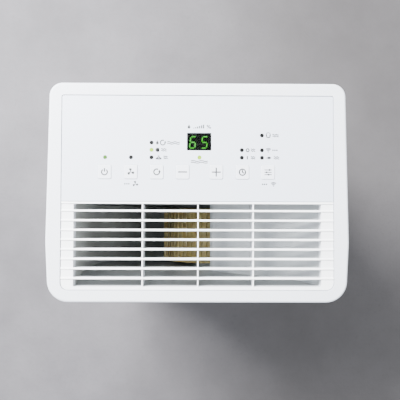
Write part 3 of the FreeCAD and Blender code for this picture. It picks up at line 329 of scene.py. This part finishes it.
def paint_grille():
    """The trim's white, with painted shade: greyer below the slats' tops, on the slat sides and on the
    strips between them.
    """
    material, tree, shader = start_material("grille_white", 0.34)
    # painted shade: the white darkens below the slats' tops
    height = spread(tree, axis_value(tree, "Z"), 0.0, 1.0, *SLAT_TOP_Z)
    body = blend_colours(tree, height, srgb(222, 225, 229), srgb(249, 250, 251))
    dull = spread(tree, noise(tree, 11.0, 3.0), 0.0, 0.35, 0.4, 0.75)
    body = blend_colours(tree, dull, body, srgb(228, 230, 232))
    feed(tree, shader, "Base Color", body)
    feed(tree, shader, "Roughness", spread(tree, noise(tree, 60.0, 3.0), 0.29, 0.41))
    raise_surface(tree, shader, noise(tree, 1600.0, 3.0, 0.6), 0.00003)
    give("grille_white", material)


def paint_ramp():
    """The light outlet ramp, with flow streaks from moulding."""
    material, tree, shader = start_material("duct_white", 0.42)
    streak = noise(tree, 14.0, 4.0, 0.62, (1.0, 0.18, 1.0))
    paler = spread(tree, streak, 0.0, 1.0, 0.35, 0.65)
    feed(tree, shader, "Base Color", blend_colours(tree, paler, srgb(178, 182, 184), srgb(196, 199, 201)))
    feed(tree, shader, "Roughness", spread(tree, streak, 0.34, 0.52))
    raise_surface(tree, shader, noise(tree, 1100.0, 3.0), 0.00004)
    give("duct_white", material)


def paint_front_plate():
    """The duct's front wall, made greyer than the ramp whose slot it shares as painted shade, so it comes
    after the ramp.
    """
    give_node("volute_front_plate", moulded("front_plate_grey", *FRONT_PLATE_PLASTIC))


def paint_wheel():
    """Natural glass-filled nylon, with dust settled on the blades."""
    material, tree, shader = start_material("wheel_natural", 0.55, Subsurface_Weight=0.6)
    shader.inputs["Subsurface Radius"].default_value = (0.006, 0.0045, 0.0025)
    fibre = noise(tree, 700.0, 4.0, 0.7, (1.0, 0.15, 1.0))
    dust = spread(tree, noise(tree, 55.0, 4.0), 0.0, 0.6, 0.45, 0.75)
    body = blend_colours(tree, fibre, srgb(158, 141, 88), srgb(174, 157, 104))
    body = blend_colours(tree, dust, body, srgb(138, 129, 98))
    feed(tree, shader, "Base Color", body)
    raise_surface(tree, shader, fibre, 0.00005)
    give("wheel_natural", material)


def paint_rubber():
    """The compressor's feet."""
    material, tree, shader = start_material("rubber_black", 0.8)
    bloom = noise(tree, 90.0, 4.0)
    feed(tree, shader, "Base Color", blend_colours(tree, bloom, srgb(22, 22, 23), srgb(46, 45, 44)))
    raise_surface(tree, shader, noise(tree, 1400.0, 3.0), 0.0001)
    give("rubber_black", material)


def paint_treads():
    """The casters' scuffed treads."""
    material, tree, shader = start_material("tread_grey", 0.72)
    scuff = noise(tree, 260.0, 4.0, 0.6)
    worn = spread(tree, scuff, 0.0, 1.0, 0.4, 0.7)
    feed(tree, shader, "Base Color", blend_colours(tree, worn, srgb(78, 79, 82), srgb(126, 123, 118)))
    raise_surface(tree, shader, scuff, 0.0002)
    give("tread_grey", material)


def paint_foam():
    """The float's beaded foam."""
    material, tree, shader = start_material("float_foam", 0.85)
    bead = cells(tree, 520.0)
    feed(tree, shader, "Base Color", blend_colours(tree, bead, srgb(242, 242, 238), srgb(206, 206, 200)))
    raise_surface(tree, shader, combine(tree, "MULTIPLY", bead, -1.0), 0.0005)
    give("float_foam", material)


# ---------------------------------------------------------------- metals


def brushed_metal(name, colour, roughness, line_stretch, depth, tarnish):
    """Metal with drawn or brushed lines, and darker patches of tarnish."""
    material, tree, shader = start_material(name, roughness, 1.0)
    colour = srgb(*colour)
    line = noise(tree, 900.0, 3.0, 0.6, line_stretch)
    patch = spread(tree, noise(tree, 30.0, 4.0), 0.0, 1.0, 0.4, 0.75)
    body = blend_colours(tree, line, shade(colour, 0.92), shade(colour, 1.05))
    body = blend_colours(tree, patch, body, shade(colour, 1.0 - tarnish))
    feed(tree, shader, "Base Color", body)
    feed(tree, shader, "Roughness", spread(tree, line, roughness - 0.06, roughness + 0.1))
    raise_surface(tree, shader, line, depth)
    return material


def paint_metals():
    """Motor can, shaft, coils, tubes, plates, nuts and screws."""
    for slot_name, finish in METALS.items():
        give(slot_name, brushed_metal(slot_name, *finish))


def paint_compressor():
    """The shell's black enamel, with its orange peel and some dust on top."""
    material, tree, shader = start_material("compressor_black", 0.3, Coat_Weight=0.4, Coat_Roughness=0.15)
    peel = noise(tree, 240.0, 2.0)
    upper = spread(tree, axis_value(tree, "Z"), 0.0, 0.5, *COMPRESSOR_TOP_Z)
    dust = combine(tree, "MULTIPLY", upper, noise(tree, 120.0, 4.0))
    feed(tree, shader, "Base Color", blend_colours(tree, dust, srgb(20, 20, 22), srgb(116, 112, 104)))
    raise_surface(tree, shader, peel, 0.0004)
    give("compressor_black", material)


def paint_core():
    """The compressor's iron core, with patches of rust."""
    material, tree, shader = start_material("core_iron", 0.6, 0.7)
    rust = spread(tree, noise(tree, 70.0, 5.0, 0.65), 0.0, 1.0, 0.45, 0.7)
    feed(tree, shader, "Base Color", blend_colours(tree, rust, srgb(92, 92, 94), srgb(104, 74, 54)))
    raise_surface(tree, shader, noise(tree, 600.0, 4.0), 0.0003)
    give("core_iron", material)


# ---------------------------------------------------------------- panel electronics


def paint_board():
    """The control board's green mask over its copper."""
    material, tree, shader = start_material("board_green", 0.35)
    trace = add_node(tree, "ShaderNodeTexBrick")
    trace.inputs["Scale"].default_value = 90.0
    trace.inputs["Mortar Size"].default_value = 0.05
    trace.inputs["Color1"].default_value = srgb(18, 84, 52)
    trace.inputs["Color2"].default_value = srgb(22, 96, 60)
    trace.inputs["Mortar"].default_value = srgb(74, 140, 88)
    tree.links.new(object_place(tree), trace.inputs["Vector"])
    feed(tree, shader, "Base Color", trace.outputs["Color"])
    raise_surface(tree, shader, trace.outputs["Fac"], 0.00005)
    give("board_green", material)


def paint_display():
    """The readout's dark body, its lit segments and the smoked window over them."""
    give("display_black", moulded("display_black", *DISPLAY_PLASTIC, Specular_IOR_Level=0.15))

    material, tree, shader = start_material("display_green", 0.5, Emission_Strength=DIGIT_GLOW)
    uneven = noise(tree, 380.0, 2.0)
    feed(tree, shader, "Emission Color", blend_colours(tree, uneven, srgb(50, 240, 6), srgb(80, 255, 16)))
    feed(tree, shader, "Base Color", blend_colours(tree, uneven, srgb(30, 70, 24), srgb(42, 86, 34)))
    give("display_green", material)

    material, tree, shader = start_material("display_lens", 0.02, Transmission_Weight=1.0, IOR=1.18)
    haze = noise(tree, 120.0, 3.0)
    feed(tree, shader, "Base Color", blend_colours(tree, haze, srgb(196, 202, 198), srgb(204, 209, 205)))
    feed(tree, shader, "Roughness", spread(tree, haze, 0.01, 0.03))
    give("display_lens", material)


def paint_lamps():
    """The unlit lamps, and the lit ones, of which the power lamp is greener."""
    material, tree, shader = start_material("lamp_dark", 0.4, Specular_IOR_Level=0.2)
    tint = noise(tree, 900.0, 2.0)
    feed(tree, shader, "Base Color", blend_colours(tree, tint, srgb(3, 3, 3), srgb(7, 8, 8)))
    give("lamp_dark", material)

    material, tree, shader = start_material("lamp_lit", 0.3, Emission_Strength=LAMP_GLOW)
    side = spread(tree, axis_value(tree, "X"), 0.0, 1.0, *POWER_LAMP_EDGE_X)
    lamp = blend_colours(tree, side, srgb(40, 84, 0), srgb(116, 150, 0))
    centre = noise(tree, 700.0, 2.0)
    feed(tree, shader, "Emission Color", blend_colours(tree, centre, lamp, srgb(124, 160, 0)))
    feed(tree, shader, "Base Color", lamp)
    give("lamp_lit", material)


# ---------------------------------------------------------------- clear plastics


def paint_tank():
    """The milky tank and its lid."""
    material, tree, shader = start_material("tank_clear", 0.32, Transmission_Weight=0.45, IOR=1.49)
    milk = noise(tree, 26.0, 3.0)
    feed(tree, shader, "Base Color", blend_colours(tree, milk, srgb(206, 216, 222), srgb(222, 230, 234)))
    feed(tree, shader, "Roughness", spread(tree, milk, 0.26, 0.4))
    raise_surface(tree, shader, noise(tree, 800.0, 2.0), 0.00003)
    give("tank_clear", material)


def paint_level_window():
    """The clear level window."""
    material, tree, shader = start_material("level_clear", 0.12, Transmission_Weight=0.8, IOR=1.49)
    haze = noise(tree, 80.0, 3.0)
    feed(tree, shader, "Base Color", blend_colours(tree, haze, srgb(150, 172, 186), srgb(170, 190, 202)))
    feed(tree, shader, "Roughness", spread(tree, haze, 0.08, 0.18))
    give("level_clear", material)


# ---------------------------------------------------------------- mesh tools


def make_object(name, mesh, material):
    """An object in the scene from a finished mesh, with its material."""
    data = bpy.data.meshes.new(name)
    mesh.to_mesh(data)
    mesh.free()
    data.materials.append(material)
    piece = bpy.data.objects.new(name, data)
    bpy.context.scene.collection.objects.link(piece)
    return piece


def on_top(height):
    """Places a mark's point on a level surface. The height is in millimetres."""
    return lambda across, along, up: Vector((across * MM, along * MM, (height + up) * MM))


def on_front(depth):
    """Places a mark's point on the front, at that distance ahead of the middle, in millimetres."""
    return lambda across, along, up: Vector((across * MM, -(depth + up) * MM, along * MM))


def flat_shape(mesh, place, outline):
    """A closed thin prism with the outline's shape."""
    lower = [mesh.verts.new(place(u, v, INK_LOW)) for u, v in outline]
    upper = [mesh.verts.new(place(u, v, INK_HIGH)) for u, v in outline]
    mesh.faces.new(upper)
    mesh.faces.new(list(reversed(lower)))
    for index in range(len(outline)):
        after = (index + 1) % len(outline)
        mesh.faces.new((lower[index], lower[after], upper[after], upper[index]))


def line_shape(mesh, place, points, width, closed=False):
    """A closed thin band of that width along the points."""
    rows = []
    count = len(points)
    for index, (u, v) in enumerate(points):
        before = points[index - 1] if closed or index > 0 else points[index]
        after = points[(index + 1) % count] if closed or index < count - 1 else points[index]
        run = Vector((after[0] - before[0], after[1] - before[1])).normalized() * (width / 2)
        left = (u - run.y, v + run.x)
        right = (u + run.y, v - run.x)
        corners = ((*left, INK_LOW), (*right, INK_LOW), (*right, INK_HIGH), (*left, INK_HIGH))
        rows.append([mesh.verts.new(place(*corner)) for corner in corners])
    pairs = list(zip(rows, rows[1:]))
    if closed:
        pairs.append((rows[-1], rows[0]))
    else:
        mesh.faces.new(rows[0])
        mesh.faces.new(list(reversed(rows[-1])))
    for first, second in pairs:
        for side in range(4):
            after = (side + 1) % 4
            mesh.faces.new((first[side], second[side], second[after], first[after]))


def arc_points(u, v, radius, start_deg, end_deg, steps=18):
    """Points along an arc, both ends included."""
    points = []
    for step in range(steps + 1):
        angle = math.radians(start_deg + (end_deg - start_deg) * step / steps)
        points.append((u + radius * math.cos(angle), v + radius * math.sin(angle)))
    return points


def circle_points(u, v, radius, steps=22):
    """Points round a whole circle, without repeating the first."""
    return arc_points(u, v, radius, 0.0, 360.0, steps)[:-1]


# ---------------------------------------------------------------- generic symbols


def draw_power(mesh, place, u, v):
    """An open ring with an upright stroke."""
    line_shape(mesh, place, arc_points(u, v - 0.2, 2.3, 125.0, 415.0), STROKE)
    line_shape(mesh, place, [(u, v), (u, v + 2.9)], STROKE)


def draw_fan(mesh, place, u, v, size=FAN_SIZE):
    """Three curved blades round a hub."""
    flat_shape(mesh, place, circle_points(u, v, 0.16 * size, 12))
    for blade in range(3):
        turn = math.radians(90.0 + 120.0 * blade)
        outline = []
        for along, across in FAN_BLADE:
            right = along * math.cos(turn) - across * math.sin(turn)
            up = along * math.sin(turn) + across * math.cos(turn)
            outline.append((u + size * right, v + size * up))
        flat_shape(mesh, place, outline)


def draw_cycle(mesh, place, u, v):
    """A round arrow, for choosing the next setting."""
    line_shape(mesh, place, arc_points(u, v, 2.3, 60.0, 360.0), STROKE)
    flat_shape(mesh, place, [(u + 1.2, v), (u + 3.4, v), (u + 2.3, v + 1.7)])


def draw_minus(mesh, place, u, v):
    """A level stroke."""
    line_shape(mesh, place, [(u - 3.6, v), (u + 3.6, v)], STROKE)


def draw_plus(mesh, place, u, v):
    """A level stroke and an upright one, in two halves that stop at it."""
    draw_minus(mesh, place, u, v)
    line_shape(mesh, place, [(u, v + STROKE / 2), (u, v + 3.6)], STROKE)
    line_shape(mesh, place, [(u, v - STROKE / 2), (u, v - 3.6)], STROKE)


def draw_clock(mesh, place, u, v):
    """A dial with two hands."""
    line_shape(mesh, place, circle_points(u, v, 2.5), STROKE, True)
    line_shape(mesh, place, [(u, v + 1.7), (u, v), (u + 1.3, v - 0.7)], LABEL_STROKE)


def draw_sliders(mesh, place, u, v):
    """Three levels with a stop on each, for settings."""
    for row, stop in ((1.9, 1.1), (0.0, -1.2), (-1.9, 0.4)):
        line_shape(mesh, place, [(u - 2.9, v + row), (u + 2.9, v + row)], 0.6)
        flat_shape(mesh, place, circle_points(u + stop, v + row, 0.75, 12))


def draw_drop(mesh, place, u, v):
    """A water drop."""
    outline = arc_points(u, v - 0.5, 1.35, 215.0, 325.0, 10)
    outline += arc_points(u, v - 0.5, 1.35, 335.0, 380.0, 4)
    outline.append((u, v + 2.2))
    outline += arc_points(u, v - 0.5, 1.35, 160.0, 205.0, 4)
    flat_shape(mesh, place, outline)


def draw_percent(mesh, place, u, v):
    """Two small rings and a slanted stroke."""
    line_shape(mesh, place, circle_points(u - 1.2, v + 0.95, 0.62, 14), 0.6, True)
    line_shape(mesh, place, circle_points(u + 1.2, v - 0.95, 0.62, 14), 0.6, True)
    line_shape(mesh, place, [(u - 1.1, v - 1.7), (u + 1.1, v + 1.7)], 0.6)


def draw_scale(mesh, place, u, v):
    """Rising bars, for a level."""
    for bar in range(SCALE_BARS):
        left = u + 1.9 * bar
        top = v - 1.6 + 0.6 * (bar + 1)
        flat_shape(mesh, place, [(left, v - 1.6), (left + 1.1, v - 1.6), (left + 1.1, top), (left, top)])


def draw_moon(mesh, place, u, v):
    """A crescent, for a quiet setting."""
    outline = arc_points(u, v, 2.1, 50.0, 310.0, 20)
    outline += list(reversed(arc_points(u + 1.25, v, 1.65, 78.0, 282.0, 14)))
    flat_shape(mesh, place, outline)


def draw_hanger(mesh, place, u, v):
    """A clothes hanger, for drying."""
    line_shape(mesh, place, [(u - 2.6, v - 1.3), (u, v + 0.5), (u + 2.6, v - 1.3)], LABEL_STROKE)
    line_shape(mesh, place, [(u - 2.5, v - 1.4), (u + 2.5, v - 1.4)], LABEL_STROKE)
    line_shape(mesh, place, [(u, v + 0.6)] + arc_points(u, v + 1.3, 0.6, -60.0, 180.0, 10), 0.4)


def draw_waves(mesh, place, u, v, width):
    """Two level waves."""
    for row in WAVE_ROWS:
        points = []
        for step in range(WAVE_STEPS + 1):
            part = step / WAVE_STEPS
            lift = WAVE_HEIGHT * math.sin(part * 4.0 * math.pi)
            points.append((u + width * (part - 0.5), v + row + lift))
        line_shape(mesh, place, points, 0.75)


def draw_bucket(mesh, place, u, v):
    """A bucket with its bail."""
    side = [(u - 1.9, v + 0.8), (u - 1.4, v - 1.8), (u + 1.4, v - 1.8), (u + 1.9, v + 0.8)]
    line_shape(mesh, place, side, LABEL_STROKE)
    line_shape(mesh, place, arc_points(u, v + 0.8, 1.9, 0.0, 180.0, 14), 0.6)


def draw_signal(mesh, place, u, v):
    """Arcs that spread from a point, for a wireless link."""
    for radius in (1.5, 2.6, 3.7):
        line_shape(mesh, place, arc_points(u, v - 1.9, radius, 48.0, 132.0, 12), 0.7)
    flat_shape(mesh, place, circle_points(u, v - 1.7, 0.5, 12))


def draw_leaf(mesh, place, u, v):
    """A leaf with its stalk, for clean air."""
    outline = []
    for step in range(12):
        part = step / 11
        outline.append((u - 2.2 + 4.4 * part, v - 0.2 + 1.35 * math.sin(math.pi * part) ** 0.8))
    for step in range(1, 11):
        part = 1.0 - step / 11
        outline.append((u - 2.2 + 4.4 * part, v - 0.2 - 1.05 * math.sin(math.pi * part) ** 0.8))
    flat_shape(mesh, place, outline)
    line_shape(mesh, place, [(u - 3.2, v - 1.1), (u - 2.2, v - 0.2)], 0.4)


def draw_dots(mesh, place, u, v):
    """A row of dots, for holding a button down."""
    for dot in range(HOLD_DOTS):
        flat_shape(mesh, place, circle_points(u + 1.9 * dot, v, 0.72, 12))


def draw_ring(mesh, place, u, v):
    """A plain ring, for off."""
    line_shape(mesh, place, circle_points(u, v, 1.35, 18), LABEL_STROKE, True)


def draw_bar(mesh, place, u, v):
    """A plain upright bar, for on."""
    line_shape(mesh, place, [(u, v - 1.6), (u, v + 1.6)], LABEL_STROKE)


def draw_tick(mesh, place, u, v, length):
    """A short level line."""
    line_shape(mesh, place, [(u, v), (u + length, v)], 0.7)


def draw_level_arrow(mesh, place, u, v):
    """A small triangle that points at the highest level."""
    flat_shape(mesh, place, [(u, v), (u + 4.0, v - 2.2), (u + 4.0, v + 2.2)])


# ---------------------------------------------------------------- printed pieces


def about(place, across, along, scale):
    """The same placing with its middle moved, and shapes drawn larger round it."""
    return lambda u, v, up: place(across + u * scale, along + v * scale, up)


def printed(name, body, place, scale, marks, material):
    """One piece of print, from a list of (drawing function, across, along, further values)."""
    mesh = bmesh.new()
    for draw, across, along, *values in marks:
        draw(mesh, about(place, across, along, scale), 0.0, 0.0, *values)
    bmesh.ops.recalc_face_normals(mesh, faces=mesh.faces)
    piece = make_object(name, mesh, material)
    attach(piece, body)
    return piece


def print_ink():
    """Grey pad-printed ink, thin and slightly uneven."""
    material, tree, shader = start_material("print_ink", 0.5)
    cover = noise(tree, 2200.0, 3.0)
    feed(tree, shader, "Base Color", blend_colours(tree, cover, srgb(20, 21, 24), srgb(34, 36, 40)))
    raise_surface(tree, shader, cover, 0.00001)
    return material


def print_panel(ink):
    """The marks round the lamps and the display."""
    panel_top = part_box("control_panel")[1].z / MM
    place = on_top(panel_top)
    lower, middle, upper, top = ROW_Y
    labels = {
        "mark_humidity": [
            (draw_drop, -11.5, HUMIDITY_MARK_Y),
            (draw_scale, -6.2, HUMIDITY_MARK_Y),
            (draw_percent, 14.2, HUMIDITY_MARK_Y),
        ],
        "mark_air": [(draw_waves, 2.0, 39.4, 16.0)],
        "mark_auto": [
            (draw_drop, -52.4, upper),
            (draw_cycle, -45.4, upper),
            (draw_waves, -31.6, upper - 0.4, 12.0),
        ],
        "mark_quiet": [(draw_moon, -52.0, middle), (draw_waves, -44.0, middle, 5.0)],
        "mark_dry": [(draw_hanger, -50.6, lower), (draw_waves, -41.6, lower, 4.0)],
        "mark_timer_off": [(draw_ring, 64.6, middle), (draw_waves, 71.6, middle, 4.0)],
        "mark_timer_on": [(draw_bar, 64.2, lower), (draw_waves, 71.6, lower, 4.0)],
        "mark_full": [(draw_bucket, 91.4, top), (draw_waves, 100.8, top, 6.0)],
        "mark_link": [(draw_signal, 91.4, middle), (draw_dots, 97.4, middle)],
        "mark_fresh": [(draw_leaf, 92.4, lower), (draw_waves, 102.0, lower, 5.0)],
        "mark_hold_fan": [(draw_dots, -94.0, HOLD_MARK_Y), (draw_fan, -80.6, HOLD_MARK_Y, HOLD_FAN_SIZE)],
        "mark_hold_link": [(draw_dots, 84.0, HOLD_MARK_Y), (draw_signal, 98.0, HOLD_MARK_Y)],
    }
    for name, marks in labels.items():
        printed(name, "cabinet", place, LABEL_SCALE, marks, ink)


def print_buttons(ink):
    """One symbol on each cap, riding on its own button."""
    symbols = {
        "button_power": draw_power,
        "button_fan": draw_fan,
        "button_mode": draw_cycle,
        "button_minus": draw_minus,
        "button_plus": draw_plus,
        "button_timer": draw_clock,
        "button_function": draw_sliders,
    }
    for button, draw in symbols.items():
        low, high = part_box(button)
        place = on_top(high.z / MM)
        across = (low.x + high.x) / 2 / MM
        name = button.replace("button", "mark")
        marks = [(draw, across, BUTTON_Y)]
        printed(name, button, place, BUTTON_MARK_SCALE, marks, ink)


def print_level(ink):
    """Level ticks beside the bucket's window, with the highest one marked."""
    low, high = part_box("level_window")
    front = -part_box("bucket_front")[0].y / MM
    place = on_front(front)
    edge = high.x / MM + 4.0
    bottom, top = low.z / MM + LEVEL_MARGIN, high.z / MM - LEVEL_MARGIN
    marks = []
    for tick in range(LEVEL_TICKS):
        level = bottom + (top - bottom) * tick / (LEVEL_TICKS - 1)
        length = LONG_TICK if tick % 2 == 0 else SHORT_TICK
        marks.append((draw_tick, edge, level, length))
    marks.append((draw_level_arrow, edge + 9.0, top))
    printed("mark_level", "bucket", place, 1.0, marks, ink)


# ---------------------------------------------------------------- filter net


def strand_places(start, end):
    """Where a layer's strands lie between two edges, evenly and at about the pitch."""
    count = int((end - start) / NET_PITCH)
    return [start + (end - start) * strand / count for strand in range(1, count)]


def add_strand(mesh, x_range, middle_y, z_range):
    """A closed straight strand, as a block, in millimetres."""
    y_range = (middle_y - NET_THICKNESS / 2, middle_y + NET_THICKNESS / 2)
    corners = []
    for x in x_range:
        for y in y_range:
            for z in z_range:
                corners.append(mesh.verts.new(Vector((x, y, z)) * MM))
    for face in ((0, 1, 3, 2), (4, 6, 7, 5), (0, 4, 5, 1), (2, 3, 7, 6), (0, 2, 6, 4), (1, 5, 7, 3)):
        mesh.faces.new([corners[index] for index in face])


def net_thread():
    """Dark plastic thread, with lint caught in patches."""
    material, tree, shader = start_material("filter_net", 0.6)
    lint = spread(tree, noise(tree, 70.0, 4.0), 0.0, 0.6, 0.5, 0.8)
    body = blend_colours(tree, noise(tree, 1500.0, 2.0), srgb(58, 62, 66), srgb(78, 82, 86))
    feed(tree, shader, "Base Color", blend_colours(tree, lint, body, srgb(136, 132, 124)))
    raise_surface(tree, shader, noise(tree, 2500.0, 2.0), 0.00005)
    return material


def woven_net():
    """The filter's net: level and upright strands that cross, in place of the plain CAD sheet."""
    low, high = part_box("filter_mesh")
    low, high = low / MM, high / MM
    middle = (low.y + high.y) / 2
    half = NET_STRAND / 2
    mesh = bmesh.new()
    for z in strand_places(low.z, high.z):
        add_strand(mesh, (low.x, high.x), middle - NET_LIFT, (z - half, z + half))
    for x in strand_places(low.x, high.x):
        add_strand(mesh, (x - half, x + half), middle + NET_LIFT, (low.z, high.z))
    bmesh.ops.recalc_face_normals(mesh, faces=mesh.faces)
    piece = make_object("filter_net", mesh, net_thread())
    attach(piece, "filter")
    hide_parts("filter_mesh")


# ---------------------------------------------------------------- stage


def concrete():
    """Plain pale concrete with a faint mottle, and painted shade that makes it darker and warmer towards
    the right.
    """
    material, tree, shader = start_material("floor", 0.7)
    dark = srgb(*FLOOR_DARK)
    cloud = spread(tree, noise(tree, 3.2, 6.0, 0.62), 0.0, 1.0, 0.35, 0.65)
    speck = spread(tree, noise(tree, 120.0, 3.0), 0.0, 0.35, 0.55, 0.8)
    body = blend_colours(tree, cloud, dark, srgb(*FLOOR_PALE))
    body = blend_colours(tree, speck, body, shade(dark, 0.9))
    # painted shade: the floor darkens towards the right
    painted_shade = spread(tree, axis_value(tree, "X"), 0.0, FLOOR_PAINTED_SHADE_SHARE, *FLOOR_PAINTED_SHADE_X)
    feed(tree, shader, "Base Color", blend_colours(tree, painted_shade, body, srgb(*FLOOR_PAINTED_SHADE)))
    raise_surface(tree, shader, noise(tree, 160.0, 4.0), 0.0003)
    return material


def make_floor():
    """A wide round floor, in rings."""
    mesh = bmesh.new()
    middle = mesh.verts.new((0.0, 0.0, 0.0))
    inner = None
    for radius in FLOOR_RINGS:
        ring = []
        for side in range(FLOOR_SIDES):
            angle = 2.0 * math.pi * side / FLOOR_SIDES
            ring.append(mesh.verts.new((radius * math.cos(angle), radius * math.sin(angle), 0.0)))
        for side in range(FLOOR_SIDES):
            after = (side + 1) % FLOOR_SIDES
            if inner is None:
                mesh.faces.new((middle, ring[side], ring[after]))
            else:
                mesh.faces.new((inner[side], ring[side], ring[after], inner[after]))
        inner = ring
    floor = make_object("floor", mesh, concrete())


def make_light(name, at, size, energy):
    """A square soft light that faces the object."""
    data = bpy.data.lights.new(name, "AREA")
    data.shape = "SQUARE"
    data.size = size
    data.energy = energy
    light = bpy.data.objects.new(name, data)
    light.location = at
    light.rotation_mode = "QUATERNION"
    light.rotation_quaternion = (Vector(LIGHT_AIM) - Vector(at)).to_track_quat("-Z", "Y")
    bpy.context.scene.collection.objects.link(light)


def make_world():
    """A pale surrounding, brighter towards the horizon than overhead."""
    world = bpy.data.worlds.new("studio")
    world.use_nodes = True
    tree = world.node_tree
    background = tree.nodes["Background"]
    background.inputs["Color"].default_value = WORLD_COLOUR
    source = add_node(tree, "ShaderNodeTexCoord")
    split = add_node(tree, "ShaderNodeSeparateXYZ")
    tree.links.new(source.outputs["Generated"], split.inputs["Vector"])
    strength = spread(tree, split.outputs["Z"], HORIZON_STRENGTH, ZENITH_STRENGTH, 0.0, HORIZON_TOP)
    tree.links.new(strength, background.inputs["Strength"])
    bpy.context.scene.world = world


def make_camera():
    """The camera above the object, looking down."""
    data = bpy.data.cameras.new("camera")
    data.lens = CAMERA_LENS
    data.sensor_width = CAMERA_SENSOR
    data.clip_start, data.clip_end = CAMERA_CLIP
    camera = bpy.data.objects.new("camera", data)
    camera.location = CAMERA_AT
    camera.rotation_euler = Euler([math.radians(angle) for angle in CAMERA_TURN_DEG], "XYZ")
    bpy.context.scene.collection.objects.link(camera)
    bpy.context.scene.camera = camera


paint_plastics()
paint_grille()
paint_ramp()
paint_front_plate()
paint_wheel()
paint_rubber()
paint_treads()
paint_foam()
paint_metals()
paint_compressor()
paint_core()
paint_board()
paint_display()
paint_lamps()
paint_tank()
paint_level_window()
INK = print_ink()
print_panel(INK)
print_buttons(INK)
print_level(INK)
woven_net()
make_floor()
make_light("key", KEY_AT, KEY_SIZE, KEY_ENERGY)
make_light("fill", FILL_AT, FILL_SIZE, FILL_ENERGY)
make_world()
make_camera()
